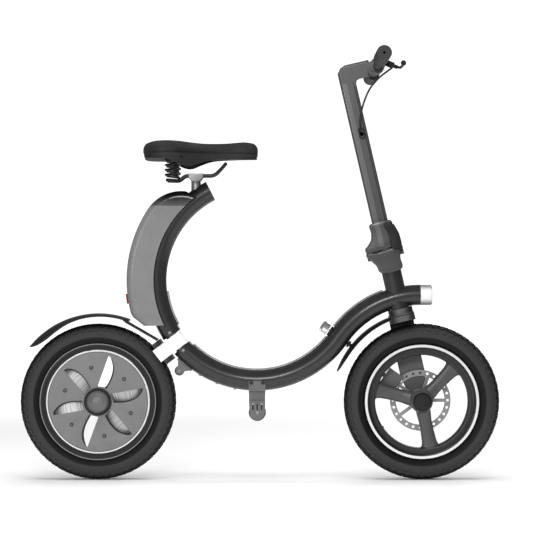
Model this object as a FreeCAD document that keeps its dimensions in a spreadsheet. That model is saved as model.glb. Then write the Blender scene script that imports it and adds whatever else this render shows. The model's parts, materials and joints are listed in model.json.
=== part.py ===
import FreeCAD, Part

# A folding bicycle on two 14 inch wheels. The frame is one tube bent round a big open loop
# and then forward over the front wheel. Millimetres, X forward, Y to the left, Z up; the
# origin is on the ground midway between the axles.

import math
import os

import Sketcher

V = FreeCAD.Vector
doc = FreeCAD.newDocument("folding_bicycle")
sheet = doc.addObject("Spreadsheet::Sheet", "Sizes")

SIZES = {
    "half_wheelbase": 369,
    "wheel_radius": 178,
    "tyre_section": 27,
    "tyre_wall": 5,
    "bead_radius": 131,
    "rim_inner": 118,
    "loop_x": -7.7,
    "loop_z": 454.9,
    "loop_radius": 229.5,
    "tube_radius": 23.5,
    "tube_wall": 2.5,
    "loop_top_angle": 117.3,
    "fold_angle": 217.5,
    "fold_gap": 18.2,
    "journal_radius": 15,
    "lamp_x": 366,
    "lamp_z": 421,
    "lean_angle": 13,
    "shell_radius": 296,
    "shell_inner": 234,
    "shell_half": 34,
    "shell_wall": 3,
    "steerer_radius": 14,
    "bar_radius": 11,
    "bar_half": 280,
    "grip_radius": 16.5,
    "axle_radius": 6,
    "running_gap": 0.05,
    "seat_top": 772,
}


class Size:
    """A number together with the sheet formula that gives it."""

    def __init__(self, value, text=None):
        self.value = float(value)
        self.text = text if text else repr(float(value))

    def __add__(self, other):
        return joined(self, "+", other, self.value + as_size(other).value)

    def __radd__(self, other):
        return as_size(other) + self

    def __sub__(self, other):
        return joined(self, "-", other, self.value - as_size(other).value)

    def __rsub__(self, other):
        return as_size(other) - self

    def __mul__(self, other):
        return joined(self, "*", other, self.value * as_size(other).value)

    def __rmul__(self, other):
        return as_size(other) * self

    def __neg__(self):
        return as_size(0) - self


def as_size(number):
    return number if isinstance(number, Size) else Size(number)


def joined(first, sign, second, value):
    return Size(value, f"({as_size(first).text} {sign} {as_size(second).text})")


S = {}
for row, (name, number) in enumerate(SIZES.items(), start=1):
    sheet.set(f"A{row}", name)
    sheet.set(f"B{row}", str(number))
    sheet.setAlias(f"B{row}", name)
    S[name] = Size(number, f"Sizes.{name}")
doc.recompute()


# ---------------------------------------------------------------- places and directions

def polar(radius, angle):
    """The X and Z of a point at an angle above the X axis, seen from the right-hand side."""
    return radius * math.cos(math.radians(angle)), radius * math.sin(math.radians(angle))


class Side:
    """A drawing plane seen from the right-hand side of the bicycle: its x axis points at an
    angle above world X, its y axis is a quarter turn on, and its z axis points at the viewer."""

    def __init__(self, centre_x, centre_z, angle=0.0):
        self.centre = V(centre_x, 0, centre_z)
        self.angle = angle
        self.turn = FreeCAD.Rotation(V(1, 0, 0), 90) * FreeCAD.Rotation(V(0, 0, 1), angle)

    def point(self, x, y, z=0.0):
        return self.centre + self.turn.multVec(V(x, y, z))

    def at(self, x=0.0, y=0.0, z=0.0, spin=0.0):
        """A placement on the plane, its z axis still at the viewer."""
        return FreeCAD.Placement(self.point(x, y, z), self.turn * FreeCAD.Rotation(V(0, 0, 1), spin))

    def shaft(self, x, y, z, direction):
        """A placement whose z axis lies in the plane, at an angle from the plane's x axis."""
        lie = FreeCAD.Rotation(V(0, 0, 1), direction) * FreeCAD.Rotation(V(0, 1, 0), 90)
        return FreeCAD.Placement(self.point(x, y, z), self.turn * lie)


WORLD = Side(0, 0)
REAR = Side(-SIZES["half_wheelbase"], SIZES["wheel_radius"])
FRONT = Side(SIZES["half_wheelbase"], SIZES["wheel_radius"])
STEER = Side(SIZES["half_wheelbase"], SIZES["wheel_radius"], SIZES["lean_angle"])
LOOP = Side(SIZES["loop_x"], SIZES["loop_z"])

# The front bend touches the loop and ends level at the headlight, which sets its radius.
reach = SIZES["lamp_x"] - SIZES["loop_x"]
drop = SIZES["loop_z"] - SIZES["lamp_z"]
BEND_RADIUS = (reach ** 2 + drop ** 2 - SIZES["loop_radius"] ** 2) / (2 * (SIZES["loop_radius"] - drop))
BEND = Side(SIZES["lamp_x"], SIZES["lamp_z"] - BEND_RADIUS)
MEET_ANGLE = math.degrees(math.atan2(BEND.centre.z - LOOP.centre.z, reach))

fold_x, fold_z = polar(SIZES["loop_radius"], SIZES["fold_angle"])
FOLD = Side(LOOP.centre.x + fold_x, LOOP.centre.z + fold_z, SIZES["fold_angle"])
FOLD_TO_AXLE = (REAR.centre - FOLD.centre).Length
GAP_ANGLE = math.degrees(SIZES["fold_gap"] / SIZES["loop_radius"])


# ---------------------------------------------------------------- makers of single shapes

def bind(item, prop, size):
    item.setExpression(prop, as_size(size).text)


def cylinder(label, radius, length, place):
    item = doc.addObject("Part::Cylinder", label)
    bind(item, "Radius", radius)
    bind(item, "Height", length)
    item.Placement = place
    return item


def torus(label, ring, section, place):
    item = doc.addObject("Part::Torus", label)
    bind(item, "Radius1", ring)
    bind(item, "Radius2", section)
    item.Placement = place
    return item


def ball(label, radius, place):
    item = doc.addObject("Part::Sphere", label)
    bind(item, "Radius", radius)
    item.Placement = place
    return item


def block(label, side, low, high):
    """A box given by its low and high corners on a side plane."""
    low = [as_size(value) for value in low]
    high = [as_size(value) for value in high]
    item = doc.addObject("Part::Box", label)
    for prop, start, end in zip(("Length", "Width", "Height"), low, high):
        bind(item, prop, end - start)
    item.Placement = side.at(*[value.value for value in low])
    return item


def sketch_on(body, role):
    sketch = body.newObject("Sketcher::SketchObject", body.Label + "_sketch")
    plane = [item for item in body.Origin.OriginFeatures if item.Role == role][0]
    sketch.AttachmentSupport = [(plane, "")]
    sketch.MapMode = "FlatFace"
    return sketch


def hold(sketch, geometry, vertex, point):
    """Fix one point of a sketch by formulas, measured from the sketch's origin."""
    for kind, axis, size in (("DistanceX", -2, point[0]), ("DistanceY", -1, point[1])):
        if abs(size.value) < 1e-9:
            sketch.addConstraint(Sketcher.Constraint("PointOnObject", geometry, vertex, axis))
            continue
        index = sketch.addConstraint(Sketcher.Constraint(kind, -1, 1, geometry, vertex, size.value))
        sketch.setExpression(f"Constraints[{index}]", size.text)


def draw_outline(sketch, corners):
    points = [(as_size(a), as_size(b)) for a, b in corners]
    first = sketch.GeometryCount
    count = len(points)
    for here, there in zip(points, points[1:] + points[:1]):
        start = V(here[0].value, here[1].value, 0)
        end = V(there[0].value, there[1].value, 0)
        sketch.addGeometry(Part.LineSegment(start, end), False)
    for index in range(count):
        following = first + (index + 1) % count
        sketch.addConstraint(Sketcher.Constraint("Coincident", first + index, 2, following, 1))
    for index, point in enumerate(points):
        hold(sketch, first + index, 1, point)


def draw_circle(sketch, x, y, radius):
    centre = (as_size(x), as_size(y))
    radius = as_size(radius)
    circle = Part.Circle(V(centre[0].value, centre[1].value, 0), V(0, 0, 1), radius.value)
    index = sketch.addGeometry(circle, False)
    hold(sketch, index, 3, centre)
    constraint = sketch.addConstraint(Sketcher.Constraint("Radius", index, radius.value))
    sketch.setExpression(f"Constraints[{constraint}]", radius.text)


def turned(label, outlines, place, angle=360, circles=()):
    """Outlines of (radius, height) turned about the body's z axis, from its x axis round."""
    body = doc.addObject("PartDesign::Body", label)
    body.Label = label
    sketch = sketch_on(body, "XZ_Plane")
    for corners in outlines:
        draw_outline(sketch, corners)
    for circle in circles:
        draw_circle(sketch, *circle)
    turn = body.newObject("PartDesign::Revolution", label + "_turn")
    turn.Profile = sketch
    turn.ReferenceAxis = (sketch, ["V_Axis"])
    bind(turn, "Angle", angle)
    sketch.Visibility = False
    body.Placement = place
    return body


def plate(label, outlines, thickness, place, circles=()):
    """Flat outlines and round holes padded along the body's z axis."""
    body = doc.addObject("PartDesign::Body", label)
    body.Label = label
    sketch = sketch_on(body, "XY_Plane")
    for corners in outlines:
        draw_outline(sketch, corners)
    for circle in circles:
        draw_circle(sketch, *circle)
    pad = body.newObject("PartDesign::Pad", label + "_pad")
    pad.Profile = sketch
    bind(pad, "Length", thickness)
    sketch.Visibility = False
    body.Placement = place
    return body


def round_edges(body, radius, wanted):
    """Fillet the edges of a body's last feature that the test picks, in the body's own frame."""
    doc.recompute()
    tip = body.Tip
    names = [f"Edge{i}" for i, edge in enumerate(tip.Shape.Edges, start=1) if wanted(edge)]
    fillet = body.newObject("PartDesign::Fillet", body.Label + "_round")
    fillet.Base = (tip, names)
    bind(fillet, "Radius", radius)
    return body


def upright(edge):
    """True for a straight edge along the body's z axis."""
    if len(edge.Vertexes) != 2:
        return False
    step = edge.Vertexes[1].Point - edge.Vertexes[0].Point
    return abs(step.x) < 1e-4 and abs(step.y) < 1e-4


def tube(label, outer, inner, length, place):
    return plate(label, [], length, place, [(0, 0, outer), (0, 0, inner)])


def group(label, items):
    """Alike separate solids kept as one part."""
    item = doc.addObject("Part::Compound", label)
    item.Links = items
    return item


def cut(label, base, tools):
    item = doc.addObject("Part::Cut", label)
    item.Base = base
    item.Tool = tools[0] if len(tools) == 1 else group(label + "_tools", tools)
    return item


def fuse(label, items):
    item = doc.addObject("Part::MultiFuse", label)
    item.Shapes = items
    return item


def bent_path(points):
    """Straight runs joined by tangent arcs, each arc as large as its two runs allow."""
    edges = []
    start = points[0]
    for before, corner, after in zip(points, points[1:], points[2:]):
        setback = 0.45 * min((before - corner).Length, (after - corner).Length)
        back = (before - corner).normalize()
        ahead = (after - corner).normalize()
        half = back.getAngle(ahead) / 2
        radius = setback * math.tan(half)
        middle = corner + (back + ahead).normalize() * (radius / math.sin(half) - radius)
        first = corner + back * setback
        last = corner + ahead * setback
        edges.append(Part.LineSegment(start, first).toShape())
        edges.append(Part.Arc(first, middle, last).toShape())
        start = last
    edges.append(Part.LineSegment(start, points[-1]).toShape())
    return Part.Wire(edges)


def bent_rod(label, points, thickness):
    """A round rod along a bent route in space, which no flat sketch can hold."""
    path = bent_path(points)
    section = Part.Wire(Part.Circle(points[0], points[1] - points[0], thickness / 2).toShape())
    item = doc.addObject("Part::Feature", label)
    item.Shape = path.makePipeShell([section], True, False)
    item.Placement = FreeCAD.Placement()
    return item


NODES = []


def node(label, item):
    """Name a finished sub-part, which is then written to its own file."""
    item.Label = label
    NODES.append(item)
    return item


# ---------------------------------------------------------------- frame

tube_outer = S["tube_radius"]
tube_inner = S["tube_radius"] - S["tube_wall"]


def tube_arc(label, side, ring, start, sweep):
    """A hollow bent tube from one angle round to another."""
    rings = [(ring, 0, tube_outer), (ring, 0, tube_inner)]
    return turned(label, [], side.at(spin=start), sweep, rings)


def frame_upper_tube():
    sweep = SIZES["fold_angle"] - GAP_ANGLE - SIZES["loop_top_angle"]
    arc = tube_arc("upper_arc", LOOP, S["loop_radius"], SIZES["loop_top_angle"], sweep)
    socket = cylinder("post_hole", 11.05, 60, WORLD.shaft(-146, 645, 0, 90))
    node("frame_upper_tube", cut("upper_tube", arc, [socket]))


def frame_lower_tube():
    start = SIZES["fold_angle"] + GAP_ANGLE
    loop_arc = tube_arc("lower_arc", LOOP, S["loop_radius"], start, 360 + MEET_ANGLE - start)
    bend_arc = tube_arc("bend_arc", BEND, BEND_RADIUS, 90, 90 + MEET_ANGLE)
    head = cylinder("head_tube", 22.5, 89.4, STEER.shaft(0, 218.6, 0, 90))
    bore = cylinder("head_bore", 18, 120, STEER.shaft(0, 200, 0, 90))
    welded = fuse("lower_weld", [loop_arc, bend_arc, head])
    stub = cylinder("stub_hole", 4.2, 80, catch_place(-40))
    node("frame_lower_tube", cut("lower_tube", welded, [bore, stub]))


def fold_journal():
    """The steel pin that the rear swing turns on, held inside both tube ends."""
    profile = [(0, -34), (17.6, -34), (17.6, -18.9), (S["journal_radius"], -18.9),
               (S["journal_radius"], 18.9), (17.6, 18.9), (17.6, 34), (0, 34)]
    node("fold_journal", turned("journal", [profile], FOLD.shaft(0, 0, 0, 90)))


def frame_screws():
    """Round-headed screws through the tube walls into the journal, and under the loop."""
    screws = []
    for along in (-25, 25):
        for face in (-1, 1):
            start = 17.7 if face > 0 else -25.3
            screws.append(cylinder("journal_screw", 3.5, 7.6, FOLD.at(0, along, start)))
    for angle in (239.2, 248.95, 258.7):
        x, z = polar(SIZES["loop_radius"] + 19.5, angle)
        screws.append(cylinder("underside_screw", 3, 6, LOOP.shaft(x, z, 0, angle)))
    node("frame_screws", group("screws", screws))


def trim_strip():
    """A thin bright strip along the inside of the loop and on over the front bend."""
    high = S["loop_radius"] - tube_outer - 0.1
    low = high - 3.6
    inner = [(low, -6), (high, -6), (high, 6), (low, 6)]
    rear_part = turned("strip_rear", [inner], LOOP.at(spin=187), 22.5)
    loop_part = turned("strip_loop", [inner], LOOP.at(spin=225.6), 360 + MEET_ANGLE - 225.6)
    base = BEND_RADIUS + SIZES["tube_radius"] + 0.1
    outer = [(base, -6), (base + 3.6, -6), (base + 3.6, 6), (base, 6)]
    front_part = turned("strip_front", [outer], BEND.at(spin=110), 70 + MEET_ANGLE)
    lower = fuse("strip_lower", [loop_part, front_part])
    knob_hole = cylinder("knob_clearance", 15, 30, catch_place(15))
    lower = cut("strip_cut", lower, [knob_hole])
    node("trim_strip", group("strips", [rear_part, lower]))


def headlight():
    place = WORLD.shaft(SIZES["lamp_x"], SIZES["lamp_z"], 0, 0)
    ring = [(20, 0.2), (23, 0.2), (23, 24), (21, 27), (19, 27), (19, 12), (20, 12)]
    node("headlight_ring", turned("lamp_ring", [ring], place))
    lens = [(0, 20), (18.9, 20), (18.9, 23), (12, 24.6), (0, 25.4)]
    node("headlight_lens", turned("lamp_lens", [lens], place))
    board = [(0, 8), (6, 8), (18.4, 18.5), (18.4, 19.6), (0, 11)]
    node("headlight_reflector", turned("lamp_reflector", [board], place))


# ---------------------------------------------------------------- battery case on the back

def case_outline(inset):
    """The battery case from the side: a band round the loop, rounded at the top and foot."""
    radius = SIZES["shell_radius"] - inset
    inner = SIZES["shell_inner"] + inset
    nose = 92 - inset
    foot = 30 - inset
    nose_x, nose_z = polar(SIZES["shell_radius"] - 92, 147)
    foot_x, foot_z = polar(SIZES["shell_radius"] - 30, 194)
    turn = math.radians

    def on(x, z, size, angle):
        return LOOP.point(x + size * math.cos(turn(angle)), z + size * math.sin(turn(angle)))

    top = on(nose_x, nose_z, nose, 84)
    top_in = on(0, 0, inner, 126 + inset * 0.3)
    heel = on(foot_x, foot_z, foot, 232)
    low = on(0, 0, inner, 206 - inset * 0.3)
    slope_x, slope_z = polar(26 - inset, 322)
    step = heel + V(slope_x, 0, slope_z)
    edges = [
        Part.Arc(top, on(nose_x, nose_z, nose, 115), on(nose_x, nose_z, nose, 147)),
        Part.Arc(on(0, 0, radius, 147), on(0, 0, radius, 170), on(0, 0, radius, 194)),
        Part.Arc(on(foot_x, foot_z, foot, 194), on(foot_x, foot_z, foot, 213), heel),
        Part.LineSegment(heel, step),
        Part.LineSegment(step, low),
        Part.Arc(low, on(0, 0, inner, 170), top_in),
        Part.LineSegment(top_in, top),
    ]
    return Part.Face(Part.Wire([edge.toShape() for edge in edges]))


def case_solid(inset, half, corner):
    """The case outline given its width, with its two back edges rounded."""
    face = case_outline(inset)
    face.translate(V(0, -half, 0))
    solid = face.extrude(V(0, 2 * half, 0))
    back = []
    for edge in solid.Edges:
        middle = edge.valueAt((edge.FirstParameter + edge.LastParameter) / 2)
        flat = abs(abs(middle.y) - half) < 0.01
        out = middle - LOOP.centre
        out.y = 0
        if flat and out.Length > SIZES["shell_radius"] - 22 - inset:
            back.append(edge)
    return solid.makeFillet(corner, back)


def battery_case():
    """Two half shells that close round the outer half of the tube, with the cells inside."""
    wall = SIZES["shell_wall"]
    half = SIZES["shell_half"]
    outer = case_solid(0, half, 15)
    inner = case_solid(wall, half - wall, 12)
    clear = Part.makeTorus(SIZES["loop_radius"], SIZES["tube_radius"] + 0.4, LOOP.centre, V(0, 1, 0))
    shell = outer.cut(inner).cut(clear)
    big = 2000
    for name, low in (("battery_case_right", -big), ("battery_case_left", 0.05)):
        side = Part.makeBox(big, big - 0.05, big, V(-big, low, 0))
        item = doc.addObject("Part::Feature", name)
        item.Shape = shell.common(side)
        item.Placement = FreeCAD.Placement()
        node(name, item)
    cells = [(256.5, -26), (289, -26), (289, 26), (256.5, 26)]
    node("battery_pack", turned("cells", [cells], LOOP.at(spin=150), 42))
    lamp = [(296.3, -14), (300, -14), (300, 14), (296.3, 14)]
    node("tail_light", turned("rear_lamp", [lamp], LOOP.at(spin=186), 4.4))


# ---------------------------------------------------------------- rollers, knob

ROLLER_ANGLE = 229.6
ROLLER_RISE = 18.8
roller_x, roller_z = polar(SIZES["loop_radius"] + SIZES["tube_radius"], ROLLER_ANGLE)
ROLLER = Side(LOOP.centre.x + roller_x, LOOP.centre.z + roller_z, ROLLER_ANGLE)


def roller_brackets():
    """Cheeks under the loop that carry the two small trolley rollers, with their axles."""
    base = block("rear_pad", ROLLER, (-2, -21, -10), (3, 21, 10))
    shape = [(1, -19), (1, 19), (12, 10), (22, 8), (27, 3), (27, -3), (22, -8), (12, -10)]
    ears = [plate("rear_ear", [shape], 3, ROLLER.at(0, 0, low)) for low in (9, -12)]
    tube_body = torus("tube_clear_rear", S["loop_radius"], tube_outer + 0.1, LOOP.at())
    hole = cylinder("rear_pin_hole", 3, 40, ROLLER.at(ROLLER_RISE, 0, -20))
    bracket = fuse("rear_bracket", [base] + ears)
    node("rear_roller_bracket", cut("rear_bracket_cut", bracket, [tube_body, hole]))
    pins = [cylinder("rear_pin", 2.95, 25, ROLLER.at(ROLLER_RISE, 0, -12.5))]

    neck = block("neck", WORLD, (-25, 172, -13), (12, 199.6, 13))
    flange = block("flange", WORLD, (-25.5, 196, -15), (12.4, 203.6, 15))
    saddle = block("bracket_wrap", WORLD, (-25.5, 203, -25.8), (12.4, 226, 25.8))
    cheek_shape = [(-25, 180), (12, 180), (11.5, 153), (9.2, 144.3), (2.8, 138), (-6, 135.7), (-14.8, 138),
                   (-21.2, 144.3), (-23.5, 153)]
    cheek = plate("cheek", [cheek_shape], 32, WORLD.at(0, 0, -16))
    slots = [block("cheek_slot", WORLD, (x - 1.5, 159, -40), (x + 1.5, 173, 40)) for x in (-16, -6, 4)]
    gap = block("cheek_gap", WORLD, (-40, 120, -11), (40, 176, 11))
    tube_low = torus("tube_clear_centre", S["loop_radius"], tube_outer + 0.1, LOOP.at())
    pin_hole = cylinder("centre_pin_hole", 4, 60, WORLD.at(-6, 153, -30))
    whole = fuse("centre_bracket", [neck, flange, saddle, cheek])
    node("centre_roller_bracket", cut("centre_bracket_cut", whole, [gap, tube_low, pin_hole] + slots))
    pins.append(cylinder("centre_pin", 3.95, 35, WORLD.at(-6, 153, -17.5)))
    node("roller_axles", group("pins", pins))


def rollers():
    wheel = [(3.02, -8), (11, -8), (11, 8), (3.02, 8)]
    node("rear_roller", turned("rear_wheel_small", [wheel], ROLLER.at(ROLLER_RISE, 0)))
    wheel = [(4.02, -10), (17.6, -10), (19.6, -7), (19.6, 7), (17.6, 10), (4.02, 10)]
    node("centre_roller", turned("centre_wheel_small", [wheel], WORLD.at(-6, 153)))


def catch_place(height):
    """On the catch knob's axis, the height measured from the tube's middle towards the loop's."""
    x, z = polar(SIZES["loop_radius"] - height, MEET_ANGLE)
    return LOOP.shaft(x, z, 0, MEET_ANGLE + 180)


def catch_knob():
    """A sprung knob that holds the folded rear wheel, on a socket that goes through the tube."""
    base = cylinder("catch_base", 12, 5, catch_place(22))
    stub = cylinder("catch_stub", 4.1, 58, catch_place(-34))
    nut = cylinder("catch_nut", 8, 5, catch_place(-29.5))
    socket = fuse("catch_raw", [base, stub, nut])
    tube_clear = torus("catch_tube_clear", S["loop_radius"], tube_outer + 0.1, LOOP.at())
    lower = cylinder("catch_keep", 4.1, 58, catch_place(-34))
    socket = fuse("catch_whole", [cut("catch_trim", socket, [tube_clear]), lower])
    bore = cylinder("catch_bore", 3.05, 30, catch_place(8))
    node("catch_socket", cut("catch_bored", socket, [bore]))
    stem = cylinder("knob_stem", 3, 20, catch_place(13))
    head = [(0, 30.6), (13.2, 30.6), (14, 32), (14, 43), (11, 48.6), (0, 49.4)]
    cap = turned("knob_head", [head], catch_place(0))
    node("catch_knob", fuse("knob", [stem, cap]))


# ---------------------------------------------------------------- saddle

def seat_support():
    post = cylinder("post", 11, 50, WORLD.shaft(-146, 638, 0, 90))
    node("seat_post", post)
    plate_shape = [(-163, 697), (-129, 697), (-131.5, 687), (-138, 680.5), (-146, 678.5), (-154, 680.5), (-160.5, 687)]
    cheeks = plate("clamp_cheeks", [plate_shape], 50, WORLD.at(0, 0, -25))
    middle = cylinder("clamp_post_hole", 11.05, 60, WORLD.shaft(-146, 640, 0, 90))
    rails = [cylinder("rail_hole", 3.6, 60, WORLD.shaft(-180, 693, side, 0)) for side in (-20, 20)]
    node("seat_clamp", cut("seat_clamp_cut", cheeks, [middle] + rails))


def saddle_rails():
    rods = []
    for side in (-1, 1):
        points = [V(-212, 36 * side, 682.5), V(-183, 20 * side, 681.2), V(-171, 20 * side, 693),
                  V(-104, 20 * side, 693), V(-88, 15 * side, 709), V(-77, 10 * side, 722)]
        rods.append(bent_rod("rail", points, 7))
    node("saddle_rails", group("rails", rods))


def saddle_springs():
    coils = []
    for side in (-1, 1):
        ring = [(11, 0), (17.5, 0), (17.5, 43.5), (11, 43.5)]
        coils.append(turned("coil", [ring], FreeCAD.Placement(V(-199, 36 * side, 686.2), FreeCAD.Rotation())))
    node("saddle_springs", group("coils", coils))


def saddle_outline(grow):
    half = [(-269 - grow, 0), (-266 - grow, 48), (-250, 82 + grow), (-215, 95 + grow), (-178, 88 + grow),
            (-135, 56 + grow), (-95, 36 + grow), (-40, 27 + grow), (-10, 22 + grow), (0 + grow, 0)]
    other = [(x, -y) for x, y in reversed(half[1:-1])]
    return half + other


def saddle():
    base = plate("seat_base", [saddle_outline(-6)], 6, FreeCAD.Placement(V(0, 0, 730), FreeCAD.Rotation()))
    node("saddle_shell", round_edges(base, 5, upright))
    height = S["seat_top"] - 736.3
    pad = plate("seat_pad", [saddle_outline(0)], height, FreeCAD.Placement(V(0, 0, 736.3), FreeCAD.Rotation()))
    node("saddle_cushion", round_edges(pad, 6, upright))


# ---------------------------------------------------------------- rear swing

def fold_block():
    """The polished block that turns on the journal and carries the rear wheel."""
    body = block("block_body", FOLD, (-18.7, -15.9, -29), (55.9, 15.9, 29))
    bore = cylinder("block_bore", 18, 40, FOLD.shaft(0, -20, 0, 90))
    tyre_room = torus("block_tyre_room", 151, 32, REAR.at())
    node("fold_block", cut("block", body, [bore, tyre_room]))
    sleeve = [(S["journal_radius"] + S["running_gap"], 1), (17.98, 1), (17.98, 15.8),
              (S["journal_radius"] + S["running_gap"], 15.8)]
    first = turned("bush_low", [sleeve], FOLD.shaft(0, 0, 0, 90))
    second = turned("bush_high", [sleeve], FOLD.shaft(0, 0, 0, 270))
    node("fold_bushes", group("bushes", [first, second]))


def rear_fork():
    """A crown across the tyre and one arm down the left side to the axle."""
    crown = block("crown", FOLD, (28.6, -28, -48), (38, 28, 31))
    arm_shape = [(28.6, -28), (70, -27), (130, -17), (FOLD_TO_AXLE, -17),
                 (FOLD_TO_AXLE, 17), (130, 17), (70, 27), (28.6, 28)]
    arm = plate("arm", [arm_shape], 14, FOLD.at(0, 0, -48))
    end = cylinder("arm_end", 24, 14, FOLD.at(FOLD_TO_AXLE, 0, -48))
    room = block("crown_block_room", FOLD, (0, -16.2, -29.3), (60, 16.2, 40))
    hole = cylinder("arm_axle_hole", 7, 40, REAR.at(0, 0, -60))
    node("rear_fork", cut("rear_fork_cut", fuse("rear_fork_raw", [crown, arm, end]), [room, hole]))
    pads = []
    for low, high in ((-28, -16.6), (16.6, 28)):
        pad = block("bumper", FOLD, (38.2, low, -24), (50, high, 24))
        pads.append(cut("bumper_cut", pad, [torus("bumper_room", 151, 31, REAR.at())]))
    node("crown_bumpers", group("bumpers", pads))


def fender_profile(radius, half, wall):
    """A thin crowned mudguard section, radius against width."""
    return [(radius, -half * 0.45), (radius, half * 0.45), (radius - 3, half * 0.8), (radius - 9, half),
            (radius - 9 - wall, half - wall), (radius - 3 - wall, half * 0.8 - wall),
            (radius - wall, half * 0.45 - wall), (radius - wall, -half * 0.45 + wall),
            (radius - 3 - wall, -half * 0.8 + wall), (radius - 9 - wall, -half + wall),
            (radius - 9, -half), (radius - 3, -half * 0.8)]


def rear_fender():
    sheet_metal = turned("rear_guard", [fender_profile(201, 30, 2)], REAR.at(spin=69), 72)
    node("rear_fender", sheet_metal)
    rods = []
    for side in (-19, 19):
        x, y = polar(192.6, 71)
        far = REAR.point(x, y, side)
        near = FOLD.point(33, -29, side)
        rod = cylinder("stay_rod", 2.2, (far - near).Length,
                       FreeCAD.Placement(near, FreeCAD.Rotation(V(0, 0, 1), far - near)))
        rods.append(rod)
    bar = turned("stay_foot", [[(191.8, -21.5), (195, -21.5), (195, 21.5), (191.8, 21.5)]], REAR.at(spin=69.3), 3.4)
    node("fender_stay", fuse("stay", rods + [bar]))


def rear_axle():
    shaft = [(0, -52), (11, -52), (11, -48.1), (6.98, -48.1), (6.98, -33), (S["axle_radius"], -33),
             (S["axle_radius"], 26), (0, 26)]
    node("rear_axle", turned("rear_shaft", [shaft], REAR.at()))


# ---------------------------------------------------------------- wheels

def tyre(label, side):
    ring = S["wheel_radius"] - S["tyre_section"]
    outer = torus(label + "_outer", ring, S["tyre_section"], side.at())
    inner = torus(label + "_inner", ring, S["tyre_section"] - S["tyre_wall"], side.at())
    bead = cylinder(label + "_bead", S["bead_radius"], 80, side.at(0, 0, -40))
    node(label, cut(label + "_cut", outer, [inner, bead]))


def rim_profile():
    outer = S["bead_radius"] - 0.3
    inner = S["rim_inner"]
    return [(inner, -16), (inner, 16), (125, 16), (125, 20), (outer, 20), (outer, -20), (125, -20), (125, -16)]


def slot_outline(turn, inner):
    """One blade-shaped opening of the turbine cover: straight on one edge, curved on the other."""
    corners = [(inner, 10.5), (inner, -13), (65, -19.5), (86, -16), (100, -9), (109, 0)]
    angle = math.radians(turn)
    return [(x * math.cos(angle) - y * math.sin(angle), x * math.sin(angle) + y * math.cos(angle))
            for x, y in corners]


def rear_wheel():
    tyre("rear_tyre", REAR)
    node("rear_rim", turned("rear_rim_ring", [rim_profile()], REAR.at()))
    cover = cylinder("cover_disc", 117.7, 3, REAR.at(0, 0, 17))
    slots = [plate("slot", [slot_outline(17 + 60 * i, 33)], 10, REAR.at(0, 0, 14)) for i in range(6)]
    hub_hole = cylinder("cover_hub_hole", 31.8, 10, REAR.at(0, 0, 14))
    screw_holes = []
    for i in range(6):
        x, y = polar(79, 41 + 60 * i)
        screw_holes.append(cylinder("cover_screw_hole", 2.5, 10, REAR.at(x, y, 14)))
    node("turbine_cover", cut("cover", cover, slots + [hub_hole] + screw_holes))
    screws = []
    for i in range(6):
        x, y = polar(79, 41 + 60 * i)
        screws.append(turned("cover_screw", [[(0, 8), (2.4, 8), (2.4, 20.1), (4.5, 20.1), (4.2, 21.6), (0, 22)]],
                             REAR.at(x, y, 0)))
    node("cover_screws", group("cover_screw_set", screws))
    hub = turned("hub_body", [[(6.05, -26), (31.5, -26), (31.5, 22), (6.05, 22)]], REAR.at())
    blades = [hub]
    for i in range(6):
        web = block("blade", Side(REAR.centre.x, REAR.centre.z, 41 + 60 * i), (31, -4, -16), (117.8, 4, 12))
        pad = cylinder("blade_boss", 6, 8, REAR.at(*polar(79, 41 + 60 * i), 8.9))
        hole = cylinder("blade_hole", 2.45, 14, REAR.at(*polar(79, 41 + 60 * i), 7.9))
        blades.append(cut("blade_cut", fuse("blade_whole", [web, pad]), [hole]))
    node("rear_spokes", fuse("spoked_hub", blades))
    cap = [(0, 26.4), (14, 26.4), (14, 22.1), (24.7, 22.1), (24.7, 28), (21, 34), (12, 38.4), (0, 40)]
    node("rear_hub_cap", turned("hub_cap", [cap], REAR.at()))


def front_wheel():
    tyre("front_tyre", FRONT)
    ring = turned("front_rim_ring", [rim_profile()], FRONT.at())
    flange = turned("front_inner_ring", [[(105, -12), (118.2, -14), (118.2, 14), (105, 12)]], FRONT.at())
    hub = turned("front_hub", [[(6.05, -24), (24, -24), (24, 22), (6.05, 22)]], FRONT.at())
    spokes = []
    for angle in (46, 165.5, 281):
        shape = [(15, -14), (60, -15), (108, -21), (108, 21), (60, 15), (15, 14)]
        spokes.append(plate("spoke", [shape], 22, FRONT.at(0, 0, -11, angle)))
    raw = fuse("front_wheel_raw", [ring, flange, hub] + spokes)
    bore = cylinder("front_bore", 6.05, 80, FRONT.at(0, 0, -40))
    node("front_wheel_casting", cut("front_wheel_cut", raw, [bore]))
    cap = [(0, 26.4), (14, 26.4), (14, 22.1), (21.5, 22.1), (21.5, 27), (17, 30.5), (0, 31.5)]
    node("front_hub_cap", turned("front_cap", [cap], FRONT.at()))
    disc = turned("rotor_ring", [[(56, -32), (70, -32), (70, -30), (56, -30)]], FRONT.at())
    hub_disc = turned("rotor_hub", [[(10, -32), (26, -32), (26, -24.1), (10, -24.1)]], FRONT.at())
    arms = [block("rotor_arm", Side(FRONT.centre.x, FRONT.centre.z, 72 * i), (24, -4, -32), (58, 4, -30))
            for i in range(5)]
    holes = [cylinder("rotor_hole", 3, 10, FRONT.at(*polar(63, 15 * i), -35)) for i in range(24)]
    node("brake_rotor", cut("rotor", fuse("rotor_raw", [disc, hub_disc] + arms), holes))


# ---------------------------------------------------------------- fork and steering

LATCH = Side(STEER.point(31, 352).x, STEER.point(31, 352).z, SIZES["lean_angle"])


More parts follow.
